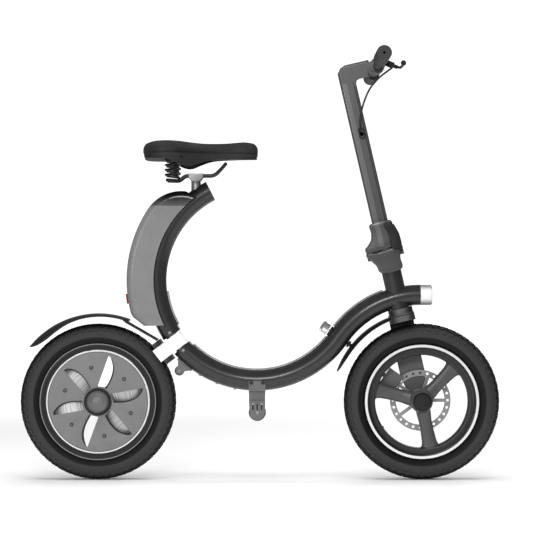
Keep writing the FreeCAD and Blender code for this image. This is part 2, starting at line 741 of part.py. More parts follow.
def fork():
    crown = block("fork_crown", STEER, (-27.5, 187, -48), (27.5, 205, 30))
    leg_shape = [(-27.5, 205), (-31, 100), (-31, 60), (-18, 0), (18, 0), (26, 60), (26, 100), (27.5, 205)]
    leg = plate("leg", [leg_shape], 12, STEER.at(0, 0, -48))
    end = cylinder("leg_end", 20, 12, STEER.at(0, 0, -48))
    ring = cylinder("crown_ring", 28, 12.5, STEER.shaft(0, 205, 0, 90))
    hole = cylinder("leg_axle_hole", 7, 40, FRONT.at(0, 0, -60))
    raw = fuse("fork_raw", [crown, leg, end, ring])
    node("fork", cut("fork_cut", raw, [hole]))
    column = [(0, 217.6), (17.5, 217.6), (17.5, 219.4), (S["steerer_radius"], 219.4), (S["steerer_radius"], 309.8),
              (24, 309.8), (24, 317), (21, 319), (21, 349.8), (0, 349.8)]
    turned_column = turned("column", [column], STEER.shaft(0, 0, 0, 90))
    lug = block("lower_lug", STEER, (-46, 338, -14.8), (-15, 349.8, 14.8))
    lower_knuckle = cylinder("lower_knuckle", 8, 14, STEER.at(-38.1, 354.6, -7))
    web = block("lower_web", STEER, (-46, 345, -7), (-30.2, 356, 7))
    pin_hole = cylinder("lower_pin_hole", 4.02, 60, STEER.at(-38.1, 354.6, -30))
    side_rooms = [cylinder("knuckle_side_room", 9.2, 12, STEER.at(-38.1, 354.6, low)) for low in (7.2, -19.2)]
    latch_lug = block("latch_lug", STEER, (15, 330, -15), (24.5, 348, 15))
    ears = [block("latch_ear", STEER, (24, 338, low), (37, 358, low + 5)) for low in (-15, 10)]
    pin = cylinder("latch_pin", 2.5, 29, LATCH.at(0, 0, -14.5))
    whole = fuse("column_raw", [turned_column, lug, lower_knuckle, web, latch_lug, pin] + ears)
    node("steering_column", cut("column_cut", whole, [pin_hole] + side_rooms))
    races = []
    for low in (219.6, 300):
        race = [(S["steerer_radius"] + S["running_gap"], low), (17.95, low),
                (17.95, low + 9), (S["steerer_radius"] + S["running_gap"], low + 9)]
        races.append(turned("race", [race], STEER.shaft(0, 0, 0, 90)))
    node("headset_bearings", group("races", races))


def front_fender():
    guard = turned("front_guard", [fender_profile(203, 29, 2)], FRONT.at(spin=112), 48.5)
    clear = block("guard_room", STEER, (-27.8, 180, -60), (60, 240, 60))
    tab = block("guard_tab", STEER, (-33, 190, -10), (-27.8, 203, 10))
    node("front_fender", fuse("front_fender_whole", [cut("guard_cut", guard, [clear]), tab]))


def front_axle():
    shaft = [(0, -53), (11, -53), (11, -48.1), (6.98, -48.1), (6.98, -34), (S["axle_radius"], -34),
             (S["axle_radius"], 26), (0, 26)]
    node("front_axle", turned("front_shaft", [shaft], FRONT.at()))


CALIPER = Side(FRONT.centre.x - 66, FRONT.centre.z + 46, 145)


def caliper():
    body = block("caliper_box", CALIPER, (-19, -22, -48), (19, 22, -24))
    slot = block("rotor_slot", CALIPER, (-60, -40, -33.2), (-6, 40, -28.8))
    bore = cylinder("arm_bore", 5.05, 13, CALIPER.at(0, 0, -49))
    leg_room = plate("leg_room", [[(-32, 215), (-32, 55), (-18, -5), (18, -5), (40, 60), (40, 215)]],
                     14, STEER.at(0, 0, -49))
    node("caliper_body", cut("caliper", body, [slot, bore, leg_room]))
    shaft = cylinder("arm_shaft", 5, 20, CALIPER.at(0, 0, -57))
    blade = plate("arm_blade", [[(-6, -7), (8, -6), (34, -4.5), (34, 4.5), (8, 6), (-6, 7)]], 4,
                  CALIPER.at(0, 0, -53))
    node("caliper_arm", fuse("caliper_lever", [shaft, blade]))


# ---------------------------------------------------------------- folding stem

def stem():
    """The folding stem: sleeve over the hinge, tall flat-sided tube and gooseneck in one piece."""
    post = [(-18, 362), (18, 362), (18, 741), (21, 748), (28, 751), (52, 751), (57, 787), (2, 787), (-11, 782),
            (-18, 772)]
    tall = plate("stem_post", [post], 30, STEER.at(0, 0, -15))
    round_edges(tall, 5, lambda edge: along_height(edge, 15))
    sleeve = cylinder("stem_sleeve", 21.5, 62, STEER.shaft(0, 350.4, 0, 90))
    collar = cylinder("stem_collar", 24, 8, STEER.shaft(0, 404, 0, 90))
    lug = block("upper_lug", STEER, (-46, 350.4, -14.8), (-10, 364, 14.8))
    clamp = cylinder("bar_clamp", 17.5, 46, STEER.at(73, 769, -23))
    neck = block("clamp_neck", STEER, (50, 756, -15), (66, 782, 15))
    bar_hole = cylinder("bar_hole", 11.02, 80, STEER.at(73, 769, -40))
    pin_room = block("knuckle_room", STEER, (-60, 340, -7.4), (-28.5, 363.4, 7.4))
    pin_hole = cylinder("upper_pin_hole", 4.02, 60, STEER.at(-38.1, 354.6, -30))
    port = cylinder("cable_port", 5, 8, STEER.at(3.5, 625, 9))
    hollow = block("stem_hollow", STEER, (-14.5, 420, -11.5), (14.5, 745, 11.5))
    raw = fuse("stem_raw", [tall, sleeve, collar, lug, clamp, neck])
    hub_lug = cylinder("upper_knuckle", 8, 29.6, STEER.at(-38.1, 354.6, -14.8))
    low_room = block("lower_side", STEER, (-60, 330, -20), (-46.3, 350, 20))
    raw = fuse("stem_knuckled", [raw, cut("knuckle_trim", hub_lug, [low_room])])
    node("stem", cut("stem_cut", raw, [bar_hole, pin_room, pin_hole, port, hollow]))
    node("stem_hinge_pin", cylinder("hinge_pin", 3.98, 30, STEER.at(-38.1, 354.6, -15)))


def along_height(edge, half):
    """True for a long straight edge on either flat side of the stem."""
    if len(edge.Vertexes) != 2:
        return False
    first = edge.Vertexes[0].Point
    last = edge.Vertexes[1].Point
    return abs(first.z - last.z) < 1e-6 and (last - first).Length > 2 * half


BAR = STEER.point(73, 769)
BAR_SIDE = Side(BAR.x, BAR.z)


def handlebar():
    half = SIZES["bar_half"]
    end = 12
    bar = tube("bar_tube", S["bar_radius"], S["bar_radius"] - 2, 2 * (half - end) - 0.4,
               BAR_SIDE.at(0, 0, -half + end + 0.2))
    node("handlebar", bar)
    left = [(11.02, -half + end), (11.02, -half + 125), (15.5, -half + 125), (S["grip_radius"], -half + 120),
            (S["grip_radius"], -half + 3), (15, -half), (3, -half), (3, -half + end)]
    right = [(11.02, half - end), (11.02, half - 42), (15.5, half - 42), (S["grip_radius"], half - 38),
             (S["grip_radius"], half - 3), (15, half), (3, half), (3, half - end)]
    node("grips", group("grip_pair", [turned("grip_left", [left], BAR_SIDE.at()),
                                      turned("grip_right", [right], BAR_SIDE.at())]))
    sleeve = [(11.06, half - 43), (11.06, half - 125), (15.5, half - 125), (S["grip_radius"], half - 121),
              (S["grip_radius"], half - 43)]
    node("throttle_sleeve", turned("throttle", [sleeve], BAR_SIDE.at()))


LEVER_TILT = -22
LEVER = Side(BAR.x, BAR.z, LEVER_TILT)
LEVER_MIDDLE = 141


def brake_perch():
    """The clamp on the bar that the brake lever pivots in, with its pin."""
    low = LEVER_MIDDLE - 9
    ring = cylinder("perch_ring", 15.5, 18, LEVER.at(0, 0, low))
    arm = block("perch_arm", LEVER, (10, -8, low), (32, 4, low + 18))
    room = block("perch_slot", LEVER, (18, -30, low + 5), (60, 30, low + 13))
    hole = cylinder("perch_bar_hole", 11.02, 30, LEVER.at(0, 0, low - 5))
    pivot = cylinder("perch_pivot_hole", 1.53, 40, LEVER.shaft(27, -30, LEVER_MIDDLE, 90))
    whole = cut("perch_cut", fuse("perch", [ring, arm]), [room, hole, pivot])
    pin = cylinder("pivot_pin", 1.5, 14, LEVER.shaft(27, -9, LEVER_MIDDLE, 90))
    node("brake_perch", group("perch_and_pin", [whole, pin]))


def brake_lever():
    """A two-finger lever, a slim blade with a ball at its end."""
    middle = LEVER_MIDDLE
    boss = block("lever_boss", LEVER, (22, -6, middle - 2.8), (41, 2, middle + 2.8))
    points = [LEVER.point(39, -2, middle), LEVER.point(47, -2, middle + 14),
              LEVER.point(49, -2, middle + 60), LEVER.point(47, -2, middle + 108)]
    blade = bent_rod("lever_blade", points, 6)
    knob = ball("lever_knob", 6, LEVER.at(47, -2, middle + 110))
    hole = cylinder("lever_hole", 1.55, 40, LEVER.shaft(27, -20, middle, 90))
    node("brake_lever", cut("lever_cut", fuse("lever_raw", [boss, blade, knob]), [hole]))


CABLE_ROUTE = [(294, -129.5, 927), (268, -116, 909), (246, -78, 886), (233, -42, 852), (227.5, -22, 820),
               (229.5, -18.6, 792)]


def brake_cable():
    """The cable from the right lever's clamp round to a port in the stem's right side."""
    points = [V(*point) for point in CABLE_ROUTE]
    node("brake_cable", bent_rod("cable", points, 4.4))


def latch():
    """The lever that closes the stem hinge at the front, with its small release button."""
    shape = [(-3, -5), (4, -5), (7, 12), (9, 40), (6, 56), (1, 57), (0, 40), (-3, 14)]
    body = plate("latch_blade", [shape], 18, LATCH.at(0, 0, -9))
    hole = cylinder("latch_hole", 2.55, 40, LATCH.at(0, 0, -20))
    well = cylinder("button_well", 4.05, 10, LATCH.shaft(2.6, 32, 0, 0))
    node("latch_lever", cut("latch_cut", body, [hole, well]))
    button = cylinder("button", 4, 6, LATCH.shaft(5, 32, 0, 0))
    node("latch_button", button)


# ---------------------------------------------------------------- build and write

def build():
    frame_upper_tube()
    frame_lower_tube()
    fold_journal()
    frame_screws()
    trim_strip()
    headlight()
    battery_case()
    roller_brackets()
    rollers()
    catch_knob()
    seat_support()
    saddle_rails()
    saddle_springs()
    saddle()
    fold_block()
    rear_fork()
    rear_fender()
    rear_axle()
    rear_wheel()
    front_wheel()
    fork()
    front_fender()
    front_axle()
    caliper()
    stem()
    handlebar()
    brake_perch()
    brake_lever()
    brake_cable()
    latch()


def check_and_write():
    doc.recompute()
    for item in doc.Objects:
        if "Invalid" in item.State or "Error" in item.State:
            raise RuntimeError(f"{item.Label} failed: {item.State}")
    for item in NODES:
        if item.Shape.isNull() or not item.Shape.isValid() or item.Shape.Volume < 1:
            raise RuntimeError(f"{item.Label} has no good shape")
    os.makedirs("parts", exist_ok=True)
    for item in NODES:
        item.Shape.exportStep(f"parts/{item.Label}.step")
        box = item.Shape.BoundBox
        print(f"{item.Label}: {len(item.Shape.Solids)} solids, {item.Shape.Volume / 1000:.1f} cm3, "
              f"X {box.XMin:.0f} {box.XMax:.0f} Y {box.YMin:.0f} {box.YMax:.0f} Z {box.ZMin:.0f} {box.ZMax:.0f}")
    print(len(NODES), "sub-parts written")


build()
check_and_write()
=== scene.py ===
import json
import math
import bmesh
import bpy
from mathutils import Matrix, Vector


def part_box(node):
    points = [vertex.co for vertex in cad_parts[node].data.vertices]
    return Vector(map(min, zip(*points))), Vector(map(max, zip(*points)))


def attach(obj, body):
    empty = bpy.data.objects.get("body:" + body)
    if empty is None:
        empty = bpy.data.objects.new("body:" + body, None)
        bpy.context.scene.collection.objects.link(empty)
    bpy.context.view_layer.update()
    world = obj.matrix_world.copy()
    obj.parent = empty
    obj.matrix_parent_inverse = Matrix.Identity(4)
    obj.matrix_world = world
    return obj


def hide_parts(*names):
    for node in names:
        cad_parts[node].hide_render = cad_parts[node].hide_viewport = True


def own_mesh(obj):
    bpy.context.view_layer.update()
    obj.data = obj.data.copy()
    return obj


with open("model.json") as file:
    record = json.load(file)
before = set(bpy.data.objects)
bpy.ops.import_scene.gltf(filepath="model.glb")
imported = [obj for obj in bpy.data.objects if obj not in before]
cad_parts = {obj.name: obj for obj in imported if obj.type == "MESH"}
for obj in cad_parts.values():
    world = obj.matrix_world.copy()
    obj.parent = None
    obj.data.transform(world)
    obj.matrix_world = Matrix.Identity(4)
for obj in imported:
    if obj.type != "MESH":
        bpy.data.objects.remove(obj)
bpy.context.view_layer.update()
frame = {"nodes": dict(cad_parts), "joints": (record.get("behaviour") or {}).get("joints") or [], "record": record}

# %% [markdown]
# # A folding bicycle with a round frame
# The measured parts are already here, each one riding on the body that moves it. This lesson
# gives them their finishes and adds what measured solids can't show well: tyres with a tread,
# a cast wheel with soft fillets, twisted vanes, coil springs and a padded saddle. Everything
# is in metres, with the front wheel towards +X and the ground at z = 0.

MM = 0.001
scene = bpy.context.scene
scene.view_settings.view_transform = "Standard"
nodes = frame["nodes"]
joints = {joint["name"]: joint for joint in frame["joints"]}


def middle(name):
    """The middle of a part's box."""
    low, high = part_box(name)
    return (Vector(low) + Vector(high)) / 2


rear_hub = middle("rear_tyre")
front_hub = middle("front_tyre")
rear_hub.y = 0
front_hub.y = 0
WHEEL = (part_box("rear_tyre")[1][2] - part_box("rear_tyre")[0][2]) / 2
print("wheels of radius", round(WHEEL, 4), "at x", round(rear_hub.x, 3), round(front_hub.x, 3))

# %% [markdown]
# ## Places on a slope
# Much of a bicycle sits on tilted lines: the steering axis leans back, and the hinge slopes.
# A place is a matrix whose local x and y lie in the side view and whose z points out to the
# right side of the bicycle, so that a wheel, a plate or a screw is made flat and put down
# once. The matrix is applied to the mesh itself, so each object stays at the origin.

# %% Places
def place(centre, angle=0.0):
    """Local x at this angle in the side view, y a quarter turn on, z out to the right side."""
    turn = math.radians(angle)
    along = Vector((math.cos(turn), 0, math.sin(turn)))
    up = Vector((-math.sin(turn), 0, math.cos(turn)))
    out = Vector((0, -1, 0))
    return Matrix.Translation(centre) @ Matrix((along, up, out)).transposed().to_4x4()


def spin(angle):
    """A turn about the local z, in degrees."""
    return Matrix.Rotation(math.radians(angle), 4, "Z")


def shaft(centre, direction):
    """Local z along this direction, for pins and screws."""
    turn = Vector((0, 0, 1)).rotation_difference(Vector(direction)).to_matrix().to_4x4()
    return Matrix.Translation(centre) @ turn


steer_axis = Vector(joints["steering_turn"]["axis"]).normalized()
steer_across = Vector((steer_axis.z, 0, -steer_axis.x))
LEAN = math.degrees(math.atan2(-steer_axis.x, steer_axis.z))
STEER = place(front_hub, LEAN)
REAR = place(rear_hub)
FRONT = place(front_hub)
print("steering leans back", round(LEAN, 1), "degrees")

# %% [markdown]
# ## Making meshes
# Three ways of making a piece cover most of this bicycle. A lathe turns a profile round an
# axis. A sheet is an outline with its holes, given a thickness and a small bevel. Anything
# else is a plain list of points and faces.
# Each helper recalculates its normals, so that every face points outwards.

# %% Mesh helpers
def finish_mesh(name, shape, smooth=40):
    """A closed mesh from a bmesh, facing outwards, with edges sharper than `smooth` kept crisp."""
    bmesh.ops.remove_doubles(shape, verts=shape.verts, dist=1e-6)
    bmesh.ops.recalc_face_normals(shape, faces=shape.faces)
    mesh = bpy.data.meshes.new(name)
    shape.to_mesh(mesh)
    shape.free()
    mesh.shade_smooth()
    mesh.set_sharp_from_angle(angle=math.radians(smooth))
    made = bpy.data.objects.new(name, mesh)
    scene.collection.objects.link(made)
    return made


def lathe(name, profile, where, steps=96, closed=False):
    """Turns (radius, height) pairs in millimetres round the local z of a place."""
    shape = bmesh.new()
    rings = []
    for radius, height in profile:
        if radius < 0.01:
            rings.append([shape.verts.new(where @ Vector((0, 0, height * MM)))] * steps)
            continue
        ring = []
        for i in range(steps):
            angle = 2 * math.pi * i / steps
            point = Vector((radius * math.cos(angle), radius * math.sin(angle), height)) * MM
            ring.append(shape.verts.new(where @ point))
        rings.append(ring)
    pairs = list(zip(rings, rings[1:]))
    if closed:
        pairs.append((rings[-1], rings[0]))
    for low, high in pairs:
        for i in range(steps):
            j = (i + 1) % steps
            corners = list(dict.fromkeys((low[i], low[j], high[j], high[i])))
            if len(corners) > 2:
                shape.faces.new(corners)
    return finish_mesh(name, shape)


def to_mesh_object(curve_object):
    """A curve object turned into a mesh object of the same name."""
    bpy.context.view_layer.update()
    graph = bpy.context.evaluated_depsgraph_get()
    mesh = bpy.data.meshes.new_from_object(curve_object.evaluated_get(graph))
    name = curve_object.name
    bpy.data.objects.remove(curve_object)
    shape = bmesh.new()
    shape.from_mesh(mesh)
    bpy.data.meshes.remove(mesh)
    return finish_mesh(name, shape)


def sheet(name, outlines, low, high, where, bevel=0.0, soft=False):
    """A plate from outlines in millimetres, the first round the others, between two heights."""
    curve = bpy.data.curves.new(name, "CURVE")
    curve.dimensions = "2D"
    curve.fill_mode = "BOTH"
    curve.extrude = (high - low) / 2 * MM - bevel * MM
    curve.bevel_depth = bevel * MM
    curve.bevel_resolution = 2
    curve.resolution_u = 8
    curve.offset = -bevel * MM if soft else 0.0
    for outline in outlines:
        spline = curve.splines.new("BEZIER" if soft else "POLY")
        points = spline.bezier_points if soft else spline.points
        points.add(len(outline) - 1)
        for point, (x, y) in zip(points, outline):
            point.co = (x * MM, y * MM, 0) if soft else (x * MM, y * MM, 0, 1)
            if soft:
                point.handle_left_type = "AUTO"
                point.handle_right_type = "AUTO"
        spline.use_cyclic_u = True
    made = bpy.data.objects.new(name, curve)
    scene.collection.objects.link(made)
    made = to_mesh_object(made)
    made.data.transform(where @ Matrix.Translation((0, 0, (low + high) / 2 * MM)))
    return made


def join(name, pieces):
    """Several meshes as one object."""
    shape = bmesh.new()
    for piece in pieces:
        shape.from_mesh(piece.data)
        bpy.data.objects.remove(piece)
    return finish_mesh(name, shape)


def circle(radius, x=0.0, y=0.0, steps=48):
    """Points round a circle, in millimetres."""
    turn = 2 * math.pi / steps
    return [(x + radius * math.cos(turn * i), y + radius * math.sin(turn * i)) for i in range(steps)]


def polar(radius, angle):
    return radius * math.cos(math.radians(angle)), radius * math.sin(math.radians(angle))


def between(table, share, column):
    """A smooth value from a table of stations, by a curve through their neighbours."""
    for i in range(len(table) - 1):
        if share <= table[i + 1][0]:
            break
    rows = [table[max(i - 1, 0)], table[i], table[i + 1], table[min(i + 2, len(table) - 1)]]
    step = rows[2][0] - rows[1][0]
    t = (share - rows[1][0]) / step
    before, start, end, after = (row[column] for row in rows)
    slope_in = (end - before) / (rows[2][0] - rows[0][0]) * step
    slope_out = (after - start) / (rows[3][0] - rows[1][0]) * step
    t2, t3 = t * t, t * t * t
    return ((2 * t3 - 3 * t2 + 1) * start + (t3 - 2 * t2 + t) * slope_in + (3 * t2 - 2 * t3) * end
            + (t3 - t2) * slope_out)


print("mesh helpers ready")

# %% [markdown]
# ## Sums on sockets
# A procedural finish is arithmetic on coordinates: how far a point is from the hub, or how
# much noise it gets. Wiring Math nodes by hand hides that arithmetic, so a small class wraps
# a socket and lets Python's own signs make the nodes. Shader trees and Geometry Nodes trees
# share the same Math node, so one class serves both.

# %% Sockets that add up
class Sock:
    """A socket that takes part in sums, in whichever tree it belongs to."""

    def __init__(self, tree, link):
        self.tree = tree
        self.link = link

    def maths(self, operation, first, second=0.0):
        return self.tree.node("ShaderNodeMath", {"operation": operation}, {0: first, 1: second})

    def __add__(self, other):
        return self.maths("ADD", self, other)

    def __sub__(self, other):
        return self.maths("SUBTRACT", self, other)

    def __rsub__(self, other):
        return self.maths("SUBTRACT", other, self)

    def __mul__(self, other):
        return self.maths("MULTIPLY", self, other)

    def __truediv__(self, other):
        return self.maths("DIVIDE", self, other)

    def __gt__(self, other):
        return self.maths("GREATER_THAN", self, other)

    def __lt__(self, other):
        return self.maths("LESS_THAN", self, other)

    def __abs__(self):
        return self.maths("ABSOLUTE", self)

    def root(self):
        return self.maths("SQRT", self)

    def larger(self, other):
        return self.maths("MAXIMUM", self, other)

    def within(self, low, high):
        """One between the two values and nothing outside them."""
        return (self > low) * (self < high)

    __radd__ = __add__
    __rmul__ = __mul__


class Tree:
    """A node tree with one method that makes every node."""

    def node(self, kind, settings=None, inputs=None, output=0):
        made = self.tree.nodes.new(kind)
        for name, value in (settings or {}).items():
            if name == "stops":
                for element, (position, tone) in zip(made.color_ramp.elements, value):
                    element.position = position
                    element.color = (tone, tone, tone, 1)
            else:
                setattr(made, name, value)
        for name, value in (inputs or {}).items():
            if isinstance(value, Sock):
                self.tree.links.new(value.link, made.inputs[name])
            else:
                made.inputs[name].default_value = value
        return Sock(self, made.outputs[output])


print("sockets ready")

# %% [markdown]
# ## Finishes
# Each finish is a Principled shader with a little life in it. The colour drifts between two
# tones, the roughness drifts with it, and a fine noise bumps the surface, because real paint,
# rubber and metal are never quite even. The patterns read Object coordinates, so that they
# stay with a part when it moves. Values that are the same all over go straight on the shader.

# %% The finish class
class Finish(Tree):
    """A material, with a base of two tones and the usual drift and grain."""

    def __init__(self, name, dark, light, rough, metal=0.0, coat=0.0, scale=40.0, grain=900.0,
                 bump=0.1, stretch=(1, 1, 1), shine=0.5):
        self.material = bpy.data.materials.new(name)
        self.material.use_nodes = True
        self.tree = self.material.node_tree
        self.shader = self.tree.nodes["Principled BSDF"]
        self.shader.inputs["Metallic"].default_value = metal
        self.shader.inputs["Coat Weight"].default_value = coat
        self.shader.inputs["Coat Roughness"].default_value = 0.12
        self.shader.inputs["Specular IOR Level"].default_value = shine
        self.where = self.node("ShaderNodeTexCoord", output="Object")
        stretched = self.node("ShaderNodeMapping", None, {"Vector": self.where, "Scale": stretch})
        drift = self.node("ShaderNodeTexNoise", None, {"Vector": stretched, "Scale": scale, "Detail": 3.0})
        self.drift = drift
        self.colour = self.blend(drift, tone(dark), tone(light))
        self.rough = drift * 0.12 + (rough - 0.06)
        fine = self.node("ShaderNodeTexNoise", None, {"Vector": stretched, "Scale": grain, "Detail": 2.0})
        self.height = fine
        self.strength = bump
        self.metal = None

    def blend(self, mask, first, second):
        """Colour first where the mask is nothing, second where it is one."""
        settings = {"data_type": "RGBA"}
        return self.node("ShaderNodeMix", settings, {0: mask, 6: first, 7: second}, output=2)

    def parts(self):
        """The three Object coordinates as sockets."""
        split = self.node("ShaderNodeSeparateXYZ", None, {0: self.where})
        outputs = split.link.node.outputs
        return Sock(self, outputs[0]), Sock(self, outputs[1]), Sock(self, outputs[2])

    def from_hub(self, centre):
        """The distance from a cross axis through this point, in millimetres."""
        x, _, z = self.parts()
        across = x - centre.x
        up = z - centre.z
        return (across * across + up * up).root() * 1000

    def by_steering(self):
        """How far across and along the steering axis, from the front hub, in millimetres."""
        x, _, z = self.parts()
        x, z = x - front_hub.x, z - front_hub.z
        across = (x * steer_across.x + z * steer_across.z) * 1000
        return across, (x * steer_axis.x + z * steer_axis.z) * 1000

    def ramp(self, value, start, end, first=0.0, last=1.0):
        """A soft change from the first number to the last, as the value goes from start to end."""
        return self.node("ShaderNodeMapRange", {"interpolation_type": "SMOOTHSTEP"},
                         {0: value, 1: start, 2: end, 3: first, 4: last})

    def over(self, mask, colour):
        """Lays another colour over what is there, where the mask is one."""
        self.colour = self.blend(mask, self.colour, tone(colour))
        return self

    def done(self, depth=0.0004):
        """Wires the sums to the shader and gives back the material."""
        links = self.tree.links
        links.new(self.colour.link, self.shader.inputs["Base Color"])
        links.new(self.rough.link, self.shader.inputs["Roughness"])
        if self.metal:
            links.new(self.metal.link, self.shader.inputs["Metallic"])
        bumped = self.node("ShaderNodeBump", None, {"Height": self.height, "Strength": self.strength,
                                                    "Distance": depth})
        links.new(bumped.link, self.shader.inputs["Normal"])
        return self.material


def tone(value):
    """A grey from one number, or a colour from three."""
    parts = value if isinstance(value, tuple) else (value, value, value)
    return (*parts, 1.0)


print("finish class ready")

# %% [markdown]
# ## Paint, metal, rubber and leather
# The tubes have a deep glossy charcoal paint under a clear coat. The case on the back has a
# satin grey side and a glossier back with painted shade on it. Chrome, brushed alloy and plain steel differ in how
# rough they are and in whether the grain runs one way. Rubber and leather are dark and rough.

# %% Plain finishes
charcoal = Finish("Charcoal gloss paint", 0.03, 0.042, 0.36, metal=0.55, coat=0.35, grain=2500).done()
black_gloss = Finish("Black gloss paint", 0.005, 0.009, 0.3, coat=0.25).done()
black_satin = Finish("Black satin paint", 0.007, 0.012, 0.45, bump=0.15, shine=0.35).done()
graphite = Finish("Graphite satin metal", 0.13, 0.17, 0.42, metal=0.3, bump=0.15).done()
chrome = Finish("Chrome", 0.82, 0.9, 0.2, metal=1.0, bump=0.03).done()
bright = Finish("Bright white alloy", 0.93, 0.98, 0.35, bump=0.04).done()
# Painted reflection: the lamp ring stays white round its middle height and is painted dark towards its top and
# bottom, as a mirror band looks under the lights.
lamp_ring_reflection_paint = Finish("Lamp ring with painted reflection band", 0.93, 0.99, 0.45, metal=0.1, bump=0.05)
reflection_band_offset = abs(lamp_ring_reflection_paint.parts()[2] - middle("headlight_ring").z)
ring_painted_reflection = lamp_ring_reflection_paint.over(lamp_ring_reflection_paint.ramp(reflection_band_offset, 0.007, 0.024), 0.1).done()
alloy = Finish("Brushed alloy", 0.3, 0.4, 0.4, metal=0.8, stretch=(1, 1, 14), bump=0.2).done()
steel = Finish("Plain steel", 0.3, 0.42, 0.32, metal=1.0, scale=90, bump=0.12).done()
dark_steel = Finish("Blackened steel", 0.035, 0.06, 0.36, metal=0.8, scale=90, bump=0.12).done()
black_plastic = Finish("Black moulded plastic", 0.006, 0.011, 0.5, grain=2200, bump=0.3, shine=0.35).done()
rubber = Finish("Dark grey rubber", 0.03, 0.045, 0.62, grain=1500, bump=0.35).done()
cable_skin = Finish("Black cable sheath", 0.008, 0.014, 0.38, grain=1800, bump=0.1).done()
cell_wrap = Finish("Blue cell wrap", (0.02, 0.06, 0.2), (0.03, 0.09, 0.28), 0.35).done()
print("plain finishes:", len(bpy.data.materials))

# %% [markdown]
# ## Glass and lamps
# The headlight's lens is clear, so it lets light through. The tail light is a
# red moulding under a clear coat. Both keep a faint ripple, as moulded lenses have.

# %% Lamp finishes
lens_finish = Finish("Clear lamp lens", 0.9, 0.95, 0.08, grain=300, bump=0.05)
lens_finish.shader.inputs["Transmission Weight"].default_value = 0.85
lens_finish.shader.inputs["IOR"].default_value = 1.45
lens = lens_finish.done()
red_lens = Finish("Red tail lens", (0.35, 0.005, 0.005), (0.5, 0.012, 0.01), 0.18, coat=0.8, grain=400).done()
print("lamp finishes ready")

# %% [markdown]
# ## Tyres and wheels in rings
# A wheel's colours change only with the distance from its hub: black tread, a greyer
# sidewall, a black bead, a thin bright ring on the rim. A mask of distance paints every
# ring at once and can't drift off centre. The same sum makes fine ribs on the sidewall.

# %% Ringed finishes
def tyre_finish(name, hub):
    """Black rubber with a greyer sidewall band and fine ribs round it."""
    paint = Finish(name, 0.003, 0.006, 0.6, grain=1600, bump=0.3, shine=0.22)
    radius = paint.from_hub(hub)
    x, y, z = paint.parts()
    wall = radius.within(147, 169.5) * (abs(y) > 0.009)
    ribs = radius.within(168, 172) + radius.within(145, 146.5)
    wave = paint.node("ShaderNodeMath", {"operation": "SINE"}, {0: radius * 4.2})
    paint.over(wall, 0.042)
    paint.over(ribs * (abs(y) > 0.009), 0.02)
    paint.height = paint.height + wave * wall * 0.4
    return paint.done()


def ringed(name, hub, base, rings, rough=0.4, metal=0.3):
    """A satin metal with rings: (inner radius, outer radius, tone) in millimetres."""
    paint = Finish(name, base * 0.85, base * 1.15, rough, metal=metal, bump=0.15)
    radius = paint.from_hub(hub)
    for low, high, value in rings:
        paint.over(radius.within(low, high), value)
    return paint.done()


rear_tyre_finish = tyre_finish("Rear tyre rubber", rear_hub)
front_tyre_finish = tyre_finish("Front tyre rubber", front_hub)
spoked_finish = ringed("Rear hub, black with grey webs", rear_hub, 0.16, [(0, 36, 0.006)], rough=0.45)
rear_rim_finish = ringed("Rear rim black with a grey lip", rear_hub, 0.01, [(130.2, 133, 0.5)])
print("ringed finishes ready")

# %% [markdown]
# ## The case on the back
# The case is one satin grey moulding. Its curved back, top and foot are glossier, and black is painted on them
# as shade, since they turn away from the light. The painted shade starts where the side turns into the back, so
# one mask is how far out from the middle a point is. Another is its height, for a painted shade over the top that
# darkens upwards.
# The joint between its two halves is a fine dark line down the middle.

# %% Case finish
case = Finish("Case, satin grey with painted shade on back and top", 0.19, 0.24, 0.4, coat=0.15, grain=2600, bump=0.1)
_, case_y, case_height = case.parts()
case_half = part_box("battery_case_left")[1][1]
case_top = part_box("battery_case_left")[1][2]
# Painted shade: black where the case turns away from its flat side, and over the top a band of painted shade that
# darkens upwards.
back = abs(case_y) < case_half - 0.0135
CAP_SHADE_DEPTH = 0.034
cap = case.ramp(case_height, case_top - CAP_SHADE_DEPTH, case_top - 0.012)
lip = case_height > case_top - CAP_SHADE_DEPTH
shade = back.larger((cap * 0.35 + 0.65) * lip)
case.over(shade, 0.006)
case.over(abs(case_y) < 0.0004, 0.0)
case.rough = case.rough - shade * 0.22
case_paint = case.done()
print("case half width", round(case_half, 4))

# %% [markdown]
# ## The folding stem
# The stem is a flat-sided column in the tube paint. Along its rear third runs a slightly
# lighter band, and near its front edge a narrow groove, whose shade is painted dark. Both follow the column,
# which leans, so the mask measures distance across the steering axis, worked out as a dot product.

# %% Stem finish
stem_paint = Finish("Stem paint with band and painted groove shade", 0.065, 0.08, 0.38, metal=0.3, coat=0.3, grain=2500)
across, upward = stem_paint.by_steering()
straight = upward.within(365, 745)
stem_paint.over(across.within(-15, -4) * straight, 0.125)
# Painted shade: the groove is painted near black, as the shade in its recess, with a slight dent.
groove = across.within(10.5, 12.5) * straight
stem_paint.over(groove, 0.004)
stem_paint.height = stem_paint.height - groove * 3
stem_finish = stem_paint.done()
print("stem finish follows an axis", [round(v, 3) for v in steer_axis])

# %% [markdown]
# ## The fork's crown
# Over the front tyre the real crown is stacked from round cups. The measured crown is a plain
# block, so its light and shade are painted: light in the middle, painted shade towards the edges as a cylinder
# looks, with two dark lines where the cups meet. It is paint, and turns no block into a cup.

# %% Fork finish
fork_paint = Finish("Fork, graphite with painted crown shade", 0.1, 0.13, 0.42, metal=0.3, bump=0.15)
fork_across, fork_up = fork_paint.by_steering()
# Painted shade: the crown is painted dark towards its edges and left light in the middle, as a lit cylinder looks.
fork_paint.over((fork_up > 186) * fork_paint.ramp(abs(fork_across + 1), 6.0, 24.0), 0.008)
fork_paint.over(fork_up.within(180, 188) + fork_up.within(201, 203), 0.008)
fork_finish = fork_paint.done()
print("fork finish ready")

# %% [markdown]
# ## Giving the measured parts their finishes
# Each measured part names the finish it takes in its record. A few take their own instead,
# because they need a mask of their own. Assigning a material changes no shape.

